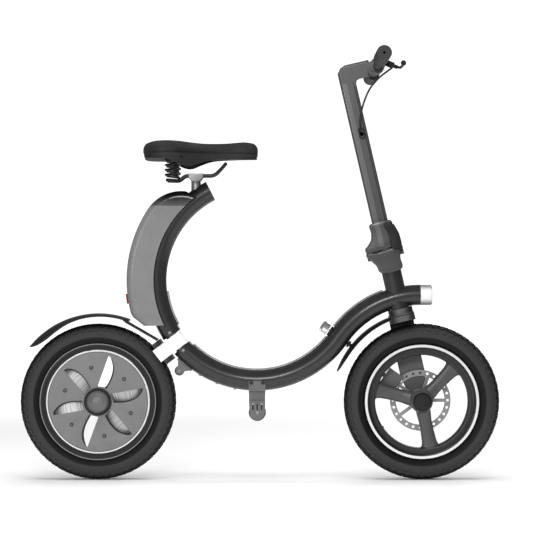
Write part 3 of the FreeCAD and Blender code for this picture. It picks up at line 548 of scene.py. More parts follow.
# %% Dressing the measured parts
by_slot = {
    "tube_paint": charcoal, "case_paint": case_paint, "polished": chrome, "steel": steel, "alloy": alloy,
    "black_paint": black_satin, "grey_paint": graphite, "black_plastic": black_plastic, "rubber": rubber,
    "tyre": rear_tyre_finish, "leather": black_plastic, "red_lens": red_lens, "lamp_glass": lens,
    "cable": cable_skin, "cell_wrap": cell_wrap,
}
own = {
    "fold_block": bright, "stem": stem_finish, "rear_rim": rear_rim_finish, "fork": fork_finish,
    "saddle_rails": dark_steel, "fender_stay": dark_steel, "stem_hinge_pin": dark_steel,
    "frame_screws": steel, "centre_roller_bracket": graphite, "rear_roller_bracket": graphite,
    "headlight_ring": ring_painted_reflection,
    "rear_fender": black_gloss, "front_fender": black_gloss, "handlebar": black_gloss,
    "seat_clamp": alloy, "brake_rotor": alloy, "rear_fork": black_satin, "steering_column": stem_finish,
    "rear_spokes": spoked_finish, "rear_hub_cap": graphite, "cover_screws": dark_steel,
}


slot_of = {row["node"]: row["material_slot"] for row in frame["record"]["subparts"]}
for name, part in nodes.items():
    part.data.materials.clear()
    part.data.materials.append(own.get(name) or by_slot[slot_of[name]])
print("dressed", len(nodes), "measured parts")

# %% [markdown]
# ## Dressing new pieces
# Every new piece rides on a body, takes a finish and says which measured part it stands for.
# One helper does the three together, so that none is forgotten.

# %% The helper
def settle(piece, body, finish, slot, *stands_for):
    """Gives a new piece its finish and its body, and hides the parts it replaces. The slot is not used."""
    piece.data.materials.clear()
    piece.data.materials.append(finish)
    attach(piece, body)
    if stands_for:
        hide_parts(*stands_for)
    print(piece.name, "-", len(piece.data.polygons), "faces")
    return piece


# %% [markdown]
# ## Geometry Nodes from a script
# What repeats is made by Geometry Nodes: one tree, with named inputs, used as often as it is
# needed. The result is turned into a plain mesh, and the modifier is thrown away, so that
# nothing is left to evaluate later. Instances are realized, and the tree sets the material.

# %% The tree builder
class Shape(Tree):
    """A Geometry Nodes tree with named number inputs."""

    def __init__(self, name, numbers):
        self.tree = bpy.data.node_groups.new(name, "GeometryNodeTree")
        self.numbers = {}
        interface = self.tree.interface
        for label, value in numbers.items():
            kind = "NodeSocketInt" if isinstance(value, int) else "NodeSocketFloat"
            socket = interface.new_socket(label, in_out="INPUT", socket_type=kind)
            socket.default_value = value
            self.numbers[label] = socket.identifier
        self.paint = interface.new_socket("Finish", in_out="INPUT", socket_type="NodeSocketMaterial").identifier
        interface.new_socket("Geometry", in_out="OUTPUT", socket_type="NodeSocketGeometry")
        self.inside = self.tree.nodes.new("NodeGroupInput")
        self.outside = self.tree.nodes.new("NodeGroupOutput")

    def __getitem__(self, label):
        return Sock(self, self.inside.outputs[label])

    def end(self, geometry):
        """Realizes the instances, sets the finish and wires the output."""
        real = self.node("GeometryNodeRealizeInstances", None, {0: geometry})
        dressed = self.node("GeometryNodeSetMaterial", None, {0: real, "Material": self["Finish"]})
        self.tree.links.new(dressed.link, self.outside.inputs[0])
        return self

    def make(self, name, finish, where, **numbers):
        """A plain mesh object from the tree, with some of its numbers changed."""
        holder = bpy.data.objects.new(name, bpy.data.meshes.new(name))
        scene.collection.objects.link(holder)
        modifier = holder.modifiers.new("Shape", "NODES")
        modifier.node_group = self.tree
        for label, identifier in self.numbers.items():
            if label in numbers:
                modifier[identifier] = numbers[label]
        modifier[self.paint] = finish
        bpy.context.view_layer.update()
        graph = bpy.context.evaluated_depsgraph_get()
        mesh = bpy.data.meshes.new_from_object(holder.evaluated_get(graph))
        bpy.data.objects.remove(holder)
        shape = bmesh.new()
        shape.from_mesh(mesh)
        bpy.data.meshes.remove(mesh)
        bmesh.ops.transform(shape, matrix=where, verts=shape.verts)
        return finish_mesh(name, shape)


print("tree builder ready")

# %% [markdown]
# ## Tyres
# A tyre is a round section swept along a circle, with a tread round its crown. The sweep is
# Curve to Mesh, and the tread is one small block put on points round the circle, four rows
# of them, each turned a little. Rows near the shoulder show as notches in the outline.

# %% The tyre tree
def tyre_tree():
    """A tyre about the local z: Radius, Section, Lugs round it and the Lug's size."""
    shape = Shape("Tyre with tread", {"Radius": 0.178, "Section": 0.0245, "Lugs": 60, "Depth": 0.0016})
    ring_radius = shape["Radius"] - shape["Section"]
    path = shape.node("GeometryNodeCurvePrimitiveCircle", None, {"Resolution": 144, "Radius": ring_radius})
    section = shape.node("GeometryNodeCurvePrimitiveCircle", None,
                         {"Resolution": 40, "Radius": shape["Section"] - shape["Depth"]})
    body = shape.node("GeometryNodeCurveToMesh", None, {0: path, 1: section})
    rows = [body]
    for row, (angle, length, slant) in enumerate(((0, 0.011, 0.5), (24, 0.010, -0.7), (-24, 0.010, 0.7),
                                                  (50, 0.012, -0.35), (-50, 0.012, 0.35))):
        reach = math.cos(math.radians(angle))
        rise = math.sin(math.radians(angle))
        out = ring_radius + (shape["Section"] - shape["Depth"]) * reach
        points = shape.node("GeometryNodeCurvePrimitiveCircle", None,
                            {"Resolution": shape["Lugs"], "Radius": out})
        lifted = shape.node("GeometryNodeTransform", None, {0: points})
        height = shape.node("ShaderNodeCombineXYZ", None, {2: (shape["Section"] - shape["Depth"]) * rise})
        shape.tree.links.new(height.link, lifted.link.node.inputs["Translation"])
        turned = shape.node("GeometryNodeTransform", None,
                            {0: lifted, "Rotation": (0, 0, row * 0.035)})
        spots = shape.node("GeometryNodeCurveToPoints", {"mode": "EVALUATED"}, {0: turned})
        block = shape.node("GeometryNodeMeshCube", None, {"Size": (0.003, 0.0105, length)})
        lean = shape.node("GeometryNodeTransform", None,
                          {0: block, "Rotation": (slant, math.radians(-angle), 0)})
        spot = shape.node("GeometryNodeInputPosition")
        flat = shape.node("ShaderNodeVectorMath", {"operation": "MULTIPLY"}, {0: spot, 1: (1, 1, 0)})
        facing = shape.node("FunctionNodeAlignRotationToVector", {"axis": "X", "pivot_axis": "Z"},
                            {"Vector": flat})
        rows.append(shape.node("GeometryNodeInstanceOnPoints", None,
                               {0: spots, "Instance": lean, "Rotation": facing}))
    together = shape.node("GeometryNodeJoinGeometry")
    for piece in rows:
        shape.tree.links.new(piece.link, together.link.node.inputs[0])
    return shape.end(together)


tyre = tyre_tree()
section = (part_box("rear_tyre")[1][1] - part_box("rear_tyre")[0][1]) / 2
rear_tyre = tyre.make("Rear-tyre", rear_tyre_finish, REAR, Radius=WHEEL - 0.0005, Section=section)
settle(rear_tyre, "rear_wheel", rear_tyre_finish, "tyre", "rear_tyre")
front_tyre = tyre.make("Front-tyre", front_tyre_finish, FRONT, Radius=WHEEL - 0.0005, Section=section)
settle(front_tyre, "front_wheel", front_tyre_finish, "tyre", "front_tyre")

# %% [markdown]
# ## The front wheel casting
# The front wheel is one casting, with three thick rounded spokes that flow into the hub and
# the rim. Separate spokes would show hard joins. So the spokes, hub and inner ring are made
# roughly, turned into one skin by a voxel remesh, and smoothed, as a casting's fillets are.

# %% Cast wheel
def spoke(angle):
    """One spoke: rounded sections from the hub out, wider at both ends."""
    shape = bmesh.new()
    stations = [(8, 17, 16), (26, 17, 14), (45, 15, 11.5), (70, 15.5, 11), (92, 17, 11.5), (104, 20, 12),
                (112, 26, 12.5)]
    rings = []
    for along, half, thick in stations:
        ring = []
        for i in range(20):
            turn = 2 * math.pi * i / 20
            square = 1 / max(abs(math.cos(turn)), abs(math.sin(turn))) ** 0.45
            point = Vector((along, half * math.cos(turn) * square, thick * math.sin(turn) * square)) * MM
            ring.append(shape.verts.new(FRONT @ spin(angle) @ point))
        rings.append(ring)
    for low, high in zip(rings, rings[1:]):
        for i in range(20):
            j = (i + 1) % 20
            shape.faces.new((low[i], low[j], high[j], high[i]))
    shape.faces.new(rings[0])
    shape.faces.new(rings[-1])
    return finish_mesh("Spoke", shape)


def one_skin(piece, voxel, passes):
    """Remeshes overlapping solids into one skin and smooths it."""
    remesh = piece.modifiers.new("Skin", "REMESH")
    remesh.mode = "VOXEL"
    remesh.voxel_size = voxel
    smooth = piece.modifiers.new("Fillets", "SMOOTH")
    smooth.factor = 0.5
    smooth.iterations = passes
    bpy.context.view_layer.update()
    graph = bpy.context.evaluated_depsgraph_get()
    mesh = bpy.data.meshes.new_from_object(piece.evaluated_get(graph))
    piece.modifiers.clear()
    piece.data = mesh
    mesh.shade_smooth()
    return piece


hub_profile = [(7, -23.5), (20, -23.5), (24, -21), (26, -10), (26, 14), (24, 20), (22, 21.5), (7, 21.5)]
inner_ring = [(108, -13.5), (117.5, -14.5), (117.5, 14.5), (108, 13.5), (106, 8), (105.4, 0), (106, -8)]
raw = [lathe("Hub", hub_profile, FRONT, closed=True), lathe("Ring", inner_ring, FRONT, closed=True)]
raw += [spoke(angle) for angle in (46, 165.5, 281)]
casting = one_skin(join("Front-wheel-casting", raw), 0.0022, 7)
cast_finish = ringed("Cast wheel, graphite", front_hub, 0.085, [(104, 119, 0.03)], rough=0.4)
settle(casting, "front_wheel", cast_finish, "grey_paint", "front_wheel_casting")

# %% [markdown]
# ## Rims
# Each rim is a turned ring between the spokes and the tyre's bead. The front one is black
# with a bright machined ring near the tyre. The ring stands a little proud, so it catches
# the light all the way round.

# %% Front rim and its bright ring
bead = (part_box("rear_rim")[1][2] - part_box("rear_rim")[0][2]) / 2 / MM
rim_profile = [(115, -15), (115, 15), (119, 19), (122, 20.4), (bead - 1, 20.4), (bead, 19.5), (bead, -19.5),
               (bead - 1, -20.4), (122, -20.4), (119, -19)]
front_rim = lathe("Front-rim", rim_profile, FRONT, steps=144, closed=True)
front_rim_finish = ringed("Front rim, black", front_hub, 0.008, [(115, 118, 0.05)], rough=0.3)
settle(front_rim, "front_wheel", front_rim_finish, "black_paint")
ring_metal = Finish("Machined bright ring", 0.85, 0.95, 0.3, metal=0.25, bump=0.05).done()
ring = [(124, 19), (124, 21.1), (124.6, 21.7), (129.4, 21.7), (130, 21.1), (130, 19)]
for side, matrix in (("right", Matrix()), ("left", Matrix.Scale(-1, 4, (0, 0, 1)))):
    bright_ring = lathe("Front-bright-ring-" + side, ring, FRONT @ matrix, steps=144, closed=True)
    settle(bright_ring, "front_wheel", ring_metal, "polished")

# %% [markdown]
# ## The turbine cover
# The rear wheel's right side is a grey disc with six blade-shaped openings, like a fan. One
# edge of each opening is straight and the other is curved. A curve object fills an outline
# with its holes left open, which makes such a disc in one step with a fine bevel.

# %% Turbine cover
# Share of an opening's length, and where its curved edge lies across it, in millimetres.
CURVED_EDGE = [(0.0, -13.0), (0.22, -18.0), (0.42, -20.5), (0.62, -20.0), (0.78, -16.0), (0.9, -10.0),
               (0.97, -4.5), (1.0, 0.2)]


def slot_edges(share):
    """The straight and the curved edge of an opening at this share of its length, in mm."""
    return 33 + 75.5 * share, 9.5 - 9.2 * share, between(CURVED_EDGE, share, 1)


def blade_opening(angle):
    """The outline of one opening, straight on one edge and curved on the other, in millimetres."""
    corners = [slot_edges(i / 24)[::2] for i in range(25)] + [(33, 9.5)]
    turn = math.radians(angle)
    return [(x * math.cos(turn) - y * math.sin(turn), x * math.sin(turn) + y * math.cos(turn))
            for x, y in corners]


cover_low, cover_high = 17.0, 20.0
openings = [blade_opening(17 + 60 * i) for i in range(6)]
cover = sheet("Turbine-cover", [circle(114.4, steps=120), circle(31.8)] + openings, cover_low, cover_high, REAR,
              bevel=0.5)
cover_finish = ringed("Turbine cover, graphite", rear_hub, 0.2, [(112.8, 113.4, 0.03)], rough=0.55, metal=0.1)
settle(cover, "rear_wheel", cover_finish, "grey_paint", "turbine_cover")
cover_ring = [(114.6, 17), (114.6, 20.4), (115, 20.8), (117, 20.8), (117.6, 20.2), (117.6, 17)]
settle(lathe("Turbine-cover-bright-ring", cover_ring, REAR, steps=144, closed=True), "rear_wheel", ring_metal,
       "polished")
lip_ring = [(130.2, 18.6), (130.2, 20.8), (130.7, 21.3), (132.2, 21.3), (132.7, 20.8), (132.7, 18.6)]
grey_ring_metal = Finish("Machined grey ring", 0.2, 0.28, 0.35, metal=0.5, bump=0.05).done()
settle(lathe("Rear-rim-grey-ring", lip_ring, REAR, steps=144, closed=True), "rear_wheel", grey_ring_metal,
       "alloy")

# %% [markdown]
# ## Vanes and slot walls
# Behind four of the openings lies a vane of brushed metal that slopes inwards across its
# width, from the straight edge to the curved one. Along the curved edge of every opening a
# dark wall turns into the wheel. Both follow the opening's own outline, so the same curve
# gives the edge of each.

# %% Vanes and walls
def strip(name, sections, where):
    """A closed strip through a list of four-cornered sections."""
    shape = bmesh.new()
    rings = [[shape.verts.new(where @ (Vector(point) * MM)) for point in section] for section in sections]
    for low, high in zip(rings, rings[1:]):
        for i in range(4):
            j = (i + 1) % 4
            shape.faces.new((low[i], low[j], high[j], high[i]))
    shape.faces.new(rings[0])
    shape.faces.new(rings[-1])
    return finish_mesh(name, shape, smooth=60)


def vane(angle):
    """One sloping vane, high at the straight edge and deep at the curved one."""
    sections = []
    for i in range(21):
        along, top, low = slot_edges(i / 20)
        bow = 2.5 * math.sin(math.pi * i / 20)
        sections.append([(along, top + 1.5, 16.2 - bow), (along, low + 2.5, 5 + bow),
                         (along, low + 2.5, 3.8 + bow), (along, top + 1.5, 15.0 - bow)])
    return strip("Vane", sections, REAR @ spin(angle))


def slot_wall(angle):
    """The dark wall along the curved edge of one opening."""
    sections = []
    for i in range(21):
        along, top, low = slot_edges(i / 20)
        inward = min(4.5, (top - low) * 0.3)
        sections.append([(along, low - 0.4, 16.9), (along, low + inward, 5.5), (along, low + inward - 1.2, 5.5),
                         (along, low - 1.6, 16.9)])
    return strip("Wall", sections, REAR @ spin(angle))


vane_paint = Finish("Brushed vane metal", 0.3, 0.5, 0.42, metal=0.7, bump=0.15)
streak = vane_paint.node("ShaderNodeTexNoise", {"noise_dimensions": "1D"},
                         {"W": vane_paint.from_hub(rear_hub) * 0.35, "Scale": 1.0, "Detail": 4.0})
vane_paint.colour = vane_paint.blend((streak - 0.3) * 2.2, tone(0.3), tone(0.68))
vane_metal = vane_paint.done()
vanes = join("Turbine-vanes", [vane(angle) for angle in (17, 137, 197, 317)])
settle(vanes, "rear_wheel", vane_metal, "alloy")
walls = join("Turbine-slot-walls", [slot_wall(17 + 60 * i) for i in range(6)])
wall_finish = Finish("Dark slot wall", 0.012, 0.03, 0.5).done()
settle(walls, "rear_wheel", wall_finish, "black_paint")

# %% [markdown]
# ## Fenders
# Each fender is a thin curved blade over the tyre. It is deepest along its tail and thins to
# a point at the front one's tip. One loft of arched sections makes both, with a table of how
# deep the sides hang and how wide the blade is along the arc.

# %% Fenders
def fender(name, hub, outer, start, sweep, table):
    """A thin arched blade. The table gives share along the arc, half width and side depth in mm."""
    shape = bmesh.new()
    rings = []
    for i in range(61):
        share = i / 60
        turn = math.radians(start + sweep * share)
        half, depth = between(table, share, 1), between(table, share, 2)
        ring = []
        for skin in (0.0, -1.6):
            across = [k / 8 - 1 for k in range(17)]
            for k in across if skin == 0.0 else reversed(across):
                radius = (outer + skin - depth * abs(k) ** 3) * MM
                ring.append(shape.verts.new((hub.x + radius * math.cos(turn), half * k * MM,
                                             hub.z + radius * math.sin(turn))))
        rings.append(ring)
    for low, high in zip(rings, rings[1:]):
        for k in range(34):
            j = (k + 1) % 34
            shape.faces.new((low[k], low[j], high[j], high[k]))
    shape.faces.new(rings[0])
    shape.faces.new(rings[-1])
    return finish_mesh(name, shape)


def arc_of(part, hub, first, last):
    """The outer radius of a measured fender, and its arc, in millimetres and degrees."""
    points = [v.co - hub for v in nodes[part].data.vertices]
    angles = [math.degrees(math.atan2(p.z, p.x)) for p in points]
    return max(math.hypot(p.x, p.z) for p in points) / MM, max(first, min(angles)), min(last, max(angles))


rear_outer, rear_start, rear_end = arc_of("rear_fender", rear_hub, 60, 170)
rear_guard = fender("Rear-fender-blade", rear_hub, rear_outer, rear_start, rear_end - rear_start,
                    [(0, 29, 4.5), (0.3, 30, 6), (0.6, 30, 9.5), (0.85, 30, 13.5), (0.97, 26, 8), (1, 20, 2)])
settle(rear_guard, "rear_swing", black_gloss, "black_plastic", "rear_fender")
front_outer, front_start, front_end = arc_of("front_fender", front_hub, 90, 175)
front_guard = fender("Front-fender-blade", front_hub, front_outer, front_start, front_end - front_start,
                     [(0, 30, 6), (0.4, 30, 7), (0.75, 28, 7), (0.92, 20, 4.5), (1, 7, 1)])
settle(front_guard, "steering", black_gloss, "black_plastic", "front_fender")
print("fenders: rear", round(rear_start), round(rear_end), "front", round(front_start), round(front_end))

# %% [markdown]
# ## The saddle
# The saddle is a padded cover on a moulded base. From the side its top dips in the middle
# and its skirt hangs lowest by the post. The pad is built as a loft a little under size,
# remeshed to even cells, and blown up by the cloth solver, which rounds it as foam does
# under a stretched cover. The cap on movement keeps it within its measured box.

# %% The saddle's lines
saddle_low, saddle_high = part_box("saddle_cushion")
LENGTH = saddle_high[0] - saddle_low[0]
TOP = saddle_high[2]
BASE = saddle_low[2]
# Share of the length from the tail, half width, and how far the top lies under the highest point.
SADDLE = [(0.00, 0.012, 0.0135), (0.02, 0.046, 0.006), (0.08, 0.078, 0.0015), (0.18, 0.0915, 0.0008),
          (0.30, 0.087, 0.003), (0.42, 0.068, 0.007), (0.52, 0.050, 0.0095), (0.64, 0.036, 0.0098),
          (0.76, 0.029, 0.008), (0.88, 0.026, 0.0045), (0.97, 0.018, 0.0040), (1.00, 0.010, 0.0120)]


def saddle_loft(inset, floor):
    """The pad as rounded sections along the saddle, open nowhere."""
    shape = bmesh.new()
    rings = []
    for i in range(49):
        share = i / 48
        x = saddle_low[0] - 0.001 + (LENGTH + 0.002) * share
        half = max(between(SADDLE, share, 1) - inset, 0.004)
        top = TOP - between(SADDLE, share, 2) - inset * 0.6
        height = top - floor
        ring = []
        for k in range(25):
            turn = math.pi * k / 24
            y = half * math.cos(turn) * (1 - 0.06 * math.sin(turn) ** 6)
            z = floor + height * math.sin(turn) ** 0.42
            ring.append(shape.verts.new((x, y, z)))
        for k in range(1, 8):
            ring.append(shape.verts.new((x, -half + 2 * half * k / 8, floor)))
        rings.append(ring)
    for low, high in zip(rings, rings[1:]):
        for k in range(32):
            shape.faces.new((low[k], low[(k + 1) % 32], high[(k + 1) % 32], high[k]))
    shape.faces.new(rings[0])
    shape.faces.new(rings[-1])
    return finish_mesh("Saddle-pad", shape)


print("saddle", round(LENGTH, 3), "m long")

# %% [markdown]
# ## Blowing up the pad
# The solver runs twenty frames with pressure and no gravity. Each point may then move only
# so far from where it began, and none goes under the base or over the measured top. One
# level of subdivision makes the leather flow.

# %% Cloth
MOST = 0.006


def inflate(piece, floor, ceiling):
    """Runs the pressure recipe on a piece and applies it, with movement capped."""
    start = [v.co.copy() for v in piece.data.vertices]
    cloth = piece.modifiers.new("Cloth", "CLOTH")
    cloth.settings.use_pressure = True
    cloth.settings.uniform_pressure_force = 4
    cloth.settings.quality = 5
    cloth.settings.effector_weights.gravity = 0
    cloth.point_cache.frame_start = 1
    cloth.point_cache.frame_end = 20
    for step in range(1, 21):
        scene.frame_set(step)
    graph = bpy.context.evaluated_depsgraph_get()
    moved = [v.co.copy() for v in piece.evaluated_get(graph).data.vertices]
    piece.modifiers.clear()
    scene.frame_set(1)
    for vertex, old, new in zip(piece.data.vertices, start, moved):
        shift = new - old
        if shift.length > MOST:
            shift = shift.normalized() * MOST
        vertex.co = old + shift
        vertex.co.x = min(max(vertex.co.x, saddle_low[0]), saddle_high[0])
        vertex.co.z = min(max(vertex.co.z, floor), ceiling)


pad = one_skin(saddle_loft(0.003, BASE + 0.0004), 0.005, 2)
inflate(pad, BASE + 0.0002, TOP)
subdivide = pad.modifiers.new("Leather flow", "SUBSURF")
subdivide.levels = 1
subdivide.render_levels = 1
leather_finish = Finish("Matte black saddle leather", 0.011, 0.02, 0.62, scale=60, bump=0.45)
cells = leather_finish.node("ShaderNodeTexVoronoi", None, {"Vector": leather_finish.where, "Scale": 700.0})
leather_finish.height = leather_finish.height * 0.4 + cells
leather = leather_finish.done()
pad.name = "Saddle-pad"
settle(pad, "saddle_top", leather, "leather", "saddle_cushion")

# %% [markdown]
# ## The saddle's skirt
# The cover is pulled down round the base, and hangs lower beside the post. A thin band that
# follows the outline, with its own height at each station, shows that line without touching
# the rails and springs inside it.

# %% Skirt
HANG = [(0.00, 0.003), (0.10, 0.004), (0.20, 0.007), (0.30, 0.0175), (0.36, 0.0235), (0.42, 0.0245),
        (0.50, 0.0175), (0.60, 0.010), (0.70, 0.0075), (0.85, 0.006), (1.00, 0.002)]


def skirt():
    """A band round the base, closed and about 2.5 mm thick."""
    shape = bmesh.new()
    stations = [i / 90 for i in range(91)]
    loop = [(share, 1) for share in stations] + [(share, -1) for share in reversed(stations[1:-1])]
    rings = []
    for share, side in loop:
        x = saddle_low[0] + 0.004 + (LENGTH - 0.009) * share
        half = between(SADDLE, share, 1)
        low = BASE - between(HANG, share, 1)
        high = BASE + 0.006
        outer = Vector((x, side * (half - 0.0008), 0))
        middle_x = saddle_low[0] + LENGTH * 0.4
        inward = Vector((middle_x - x, -outer.y, 0)).normalized() * 0.0024
        inner = outer + inward
        belly = outer - inward * 0.35
        ring = [(outer, high), (belly, (high + BASE) / 2), (outer, BASE), (outer + inward * 0.9, low),
                (inner + inward * 0.7, low), (inner, BASE), (inner, high)]
        rings.append([shape.verts.new((p.x, p.y, z)) for p, z in ring])
    for i, low_ring in enumerate(rings):
        high_ring = rings[(i + 1) % len(rings)]
        for k in range(7):
            j = (k + 1) % 7
            shape.faces.new((low_ring[k], low_ring[j], high_ring[j], high_ring[k]))
    return finish_mesh("Saddle-skirt", shape, smooth=60)


settle(skirt(), "saddle_top", leather, "leather")

# %% [markdown]
# ## Coil springs
# Two short coil springs hold the tail of the saddle up. A coil follows a rule, so Geometry
# Nodes make it: a spiral curve with a round section swept along it. They stay on the frame,
# and the real ones shorten as the saddle sinks.

# %% Springs
def spring_tree():
    """A coil about the local z: Radius, Wire, Height and Turns."""
    shape = Shape("Coil spring", {"Radius": 0.0145, "Wire": 0.0024, "Height": 0.02, "Turns": 3.5})
    spiral = shape.node("GeometryNodeCurveSpiral", None,
                        {"Resolution": 28, "Rotations": shape["Turns"], "Start Radius": shape["Radius"],
                         "End Radius": shape["Radius"], "Height": shape["Height"]})
    wire = shape.node("GeometryNodeCurvePrimitiveCircle", None, {"Resolution": 10, "Radius": shape["Wire"]})
    return shape.end(shape.node("GeometryNodeCurveToMesh", None, {0: spiral, 1: wire, "Fill Caps": True}))


spring_low, spring_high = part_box("saddle_springs")
WIRE = 0.0024
tall = spring_high[2] - spring_low[2]
spring_x = (spring_low[0] + spring_high[0]) / 2
spring_y = spring_high[1] - 0.0175
coil = spring_tree()
coils = []
for side in (-1, 1):
    base = Matrix.Translation((spring_x, side * spring_y, spring_low[2] + WIRE))
    coils.append(coil.make("Coil", dark_steel, base, Height=tall - 2 * WIRE, Wire=WIRE, Radius=0.0149))
springs = settle(join("Saddle-springs", coils), "frame", dark_steel, "black_paint", "saddle_springs")
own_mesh(springs)

# %% [markdown]
# ## Seat clamp teeth
# The half-round clamp under the saddle has a fine serrated edge, which locks its angle. The
# teeth are one small ridge repeated on points along an arc, made by Geometry Nodes.

# %% Teeth
def teeth_tree():
    """Ridges along an arc in the local xy plane, each lying along z."""
    shape = Shape("Serration", {"Radius": 0.0155, "Teeth": 22, "Width": 0.05, "Size": 0.0013})
    arc = shape.node("GeometryNodeCurveArc", None,
                     {"Resolution": shape["Teeth"], "Radius": shape["Radius"], "Start Angle": math.pi,
                      "Sweep Angle": math.pi})
    spots = shape.node("GeometryNodeCurveToPoints", {"mode": "EVALUATED"}, {0: arc})
    size = shape.node("ShaderNodeCombineXYZ", None, {0: shape["Size"], 1: shape["Size"], 2: shape["Width"]})
    ridge = shape.node("GeometryNodeMeshCube", None, {"Size": size})
    corner = shape.node("GeometryNodeTransform", None, {0: ridge, "Rotation": (0, 0, math.pi / 4)})
    facing = shape.node("FunctionNodeAlignRotationToVector", {"axis": "X", "pivot_axis": "Z"},
                        {"Vector": shape.node("GeometryNodeInputPosition")})
    return shape.end(shape.node("GeometryNodeInstanceOnPoints", None,
                                {0: spots, "Instance": corner, "Rotation": facing}))


clamp_low, clamp_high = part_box("seat_clamp")
clamp_middle = Vector(((clamp_low[0] + clamp_high[0]) / 2, 0, clamp_high[2]))
clamp_width = clamp_high[1] - clamp_low[1]
half_disc = [(17.2, 0), (17.2, -1)]
half_disc += [(17.0 * math.cos(math.pi * i / 24), -1 - 17.0 * math.sin(math.pi * i / 24)) for i in range(1, 24)]
half_disc += [(-17.2, -1), (-17.2, 0)]
half_width = clamp_width / 2 / MM
cheeks = [sheet("Cheek", [half_disc], low, low + 9, place(clamp_middle), bevel=0.6)
          for low in (-half_width, half_width - 9)]
cheeks.append(sheet("Cradle", [half_disc], -9.5, 9.5, place(clamp_middle), bevel=0.6))
settle(join("Seat-clamp-cheeks", cheeks), "frame", alloy, "alloy", "seat_clamp")
teeth = teeth_tree().make("Seat-clamp-teeth", alloy, place(clamp_middle + Vector((0, 0, -0.001))),
                          Width=clamp_width, Radius=0.0168)
settle(teeth, "frame", dark_steel, "alloy")

# %% [markdown]
# ## Small fittings
# Screw heads and the tyre's air valve are small, but their absence is noticed. A screw head
# is a turned disc with a sunk socket, so one lathe profile with a low middle serves. The
# valve is a stepped pin that points in from the rim.

# %% Screw head and valve
def screw_head(radius, height, where):
    """A low round head with a socket sunk in it."""
    profile = [(0, -0.5), (radius, -0.5), (radius, height * 0.7), (radius * 0.85, height),
               (radius * 0.5, height), (radius * 0.45, height * 0.4), (0, height * 0.35)]
    return lathe("Head", profile, where, steps=24)


valve = lathe("Front-tyre-valve", [(0, 0), (2.6, 0), (2.6, 10), (2.1, 10.5), (2.1, 16), (1.4, 17), (0, 17)],
              shaft(FRONT @ (Vector((*polar(104, 214), 0)) * MM), FRONT.to_3x3() @ Vector((*polar(1, 214), 0))),
              steps=20)
settle(valve, "front_wheel", black_plastic, "black_plastic")

# %% [markdown]
# ## The hinge at the foot of the stem
# The stem folds at a hinge with a soft moulded outline: it swells at the back, round the pin,
# and a thick curved lever hugs its front and locks it. Both are outlines in the side view
# with a smooth edge, so a soft curve and a wide bevel give them. The lever is a piece of its
# own, because it swings open.

# %% Hinge mouldings and latch lever
hinge_top = [(-20, 420.5), (-24.4, 418), (-24.8, 400), (-29, 384), (-38, 374), (-46.5, 365), (-44, 357.5),
             (-25, 357), (10, 359.5), (24.4, 362), (24.8, 400), (24.4, 418), (20, 420.5)]
hinge_foot = [(-46.5, 354.2), (-45.5, 346), (-38, 336), (-29, 322), (-25.2, 308), (-20, 305), (20, 305),
              (25.2, 308), (26, 330), (28, 352), (22, 356.5), (0, 355.5), (-25, 353.5)]
for name, body, outline in (("Hinge-moulding-upper", "stem", hinge_top),
                            ("Hinge-moulding-foot", "steering", hinge_foot)):
    moulding = sheet(name, [outline], -24.4, 24.4, STEER, bevel=3, soft=True)
    settle(moulding, body, stem_finish, "tube_paint")
lever_front = [(25.4, 350), (32, 347), (34.8, 355), (35, 384), (31.5, 399), (25.4, 409)]
lever_cheek = [(27, 349), (32, 347), (34.8, 355), (35, 384), (31.5, 399), (25, 411), (16, 417), (8, 417),
               (5, 411), (8, 400), (13, 390), (14, 376), (11, 364), (15, 353)]
lever_parts = [sheet("Bridge", [lever_front], -26, 26, STEER, bevel=1.5, soft=True)]
lever_parts += [sheet("Lever-cheek", [lever_cheek], low, low + 2.6, STEER, bevel=1.1, soft=True)
                for low in (-27.4, 24.8)]
settle(join("Latch-lever", lever_parts), "latch", black_satin, "black_paint", "latch_lever")
red_button = lathe("Latch-button-cap", [(0, 0), (3.6, 0), (3.6, 4.9), (2.8, 5.7), (0, 5.9)],
                   shaft(STEER @ (Vector((31.5, 384, 0)) * MM), steer_across), steps=24)
settle(red_button, "button", red_lens, "red_lens", "latch_button")

# %% [markdown]
# ## Grommet, screws and bolts
# The cable enters the stem through an oval grommet, which is a small sheet with a hole. The
# turbine cover's dark screws each get a grey middle, and two bolts hold the bracket under the
# frame. Both kinds are the same turned head in two sizes.

# %% Grommet and heads
grommet = circle(6.4, 4, 633.4, 24)[:13] + circle(6.4, 4, 620.6, 24)[12:]
hole = circle(4.4, 4, 633.4, 24)[:13] + circle(4.4, 4, 620.6, 24)[12:]
settle(sheet("Cable-grommet", [grommet, hole], 17.6, 19.6, STEER, bevel=0.5), "stem", black_plastic,
       "black_plastic")
heads = []
for angle in range(0, 360, 60):
    x, y = polar(79, angle + 41)
    heads.append(screw_head(2.3, 0.6, REAR @ Matrix.Translation((x * MM, y * MM, 0.022))))
settle(join("Cover-screw-centres", heads), "rear_wheel", graphite, "steel")
bolts = [screw_head(4.6, 1.8, place(Vector((x, -0.0258, 0.222)))) for x in (-0.0198, 0.007)]
settle(join("Centre-bracket-bolts", bolts), "frame", dark_steel, "steel")

# %% [markdown]
# ## Floor, light and camera
# The floor is pale and fades out, so no horizon line crosses the picture. Large soft lights
# above and to both sides give long smooth highlights on the tubes. The camera stands square
# to the bicycle's right side, far off with a long lens, so the side view is nearly flat.

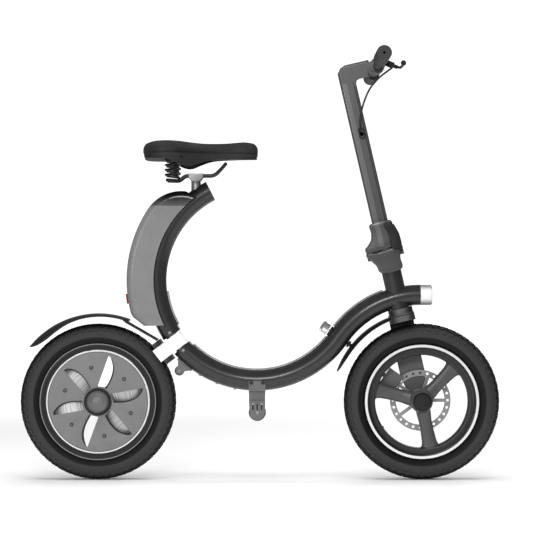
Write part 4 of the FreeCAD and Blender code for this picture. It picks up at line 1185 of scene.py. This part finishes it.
# %% Floor
floor_mesh = bpy.data.meshes.new("Studio floor")
FLOOR = 4.0
floor_mesh.from_pydata([(-FLOOR, -FLOOR, 0), (FLOOR, -FLOOR, 0), (FLOOR, FLOOR, 0), (-FLOOR, FLOOR, 0)], [],
                       [(0, 1, 2, 3)])
floor = bpy.data.objects.new("Studio floor", floor_mesh)
scene.collection.objects.link(floor)
pale = Finish("Pale floor", 0.93, 0.95, 0.8, scale=2, bump=0.0)
floor_x, floor_y, _ = pale.parts()
reach = (floor_x * floor_x + floor_y * floor_y).root()
fade = pale.ramp(reach, 1.0, 2.6, first=1.0, last=0.0)
pale.tree.links.new(fade.link, pale.shader.inputs["Alpha"])
floor_mesh.materials.append(pale.done())

# %% Light
SEEN = 1.15
FILL = 0.22
world = bpy.data.worlds.new("Studio")
world.use_nodes = True
backdrop = Tree()
backdrop.tree = world.node_tree
glow = world.node_tree.nodes["Background"]
glow.inputs[0].default_value = (1, 1, 1, 1)
seen = backdrop.node("ShaderNodeLightPath")
strength = seen * (SEEN - FILL) + FILL
world.node_tree.links.new(strength.link, glow.inputs[1])
scene.world = world


def soft_light(name, position, target, size, power, mirrored=True):
    """A square soft light aimed at a point. One that isn't mirrored lights but shows in nothing."""
    data = bpy.data.lights.new(name, "AREA")
    data.size = size
    data.energy = power
    light = bpy.data.objects.new(name, data)
    light.location = position
    light.rotation_euler = (Vector(target) - Vector(position)).to_track_quat("-Z", "Y").to_euler()
    light.visible_glossy = mirrored
    scene.collection.objects.link(light)


soft_light("Top light", (0, -0.2, 2.6), (0, 0, 0.3), 2.2, 74, mirrored=False)
soft_light("Side light", (-0.2, -4.0, 2.0), (0, 0, 0.4), 0.9, 46)
soft_light("Left light", (-1.7, -3.7, 0.9), (0, 0, 0.4), 0.8, 24)
soft_light("Far light", (1.4, 2.6, 1.6), (0, 0, 0.4), 1.4, 22)

# %% Camera
camera_data = bpy.data.cameras.new("Camera")
camera_data.lens = 127
camera_data.sensor_width = 36
camera = bpy.data.objects.new("Camera", camera_data)
camera.location = (0.015, -4.3, 0.486)
camera.rotation_euler = (math.pi / 2, 0, 0)
scene.collection.objects.link(camera)
scene.camera = camera
print("camera", tuple(camera.location))
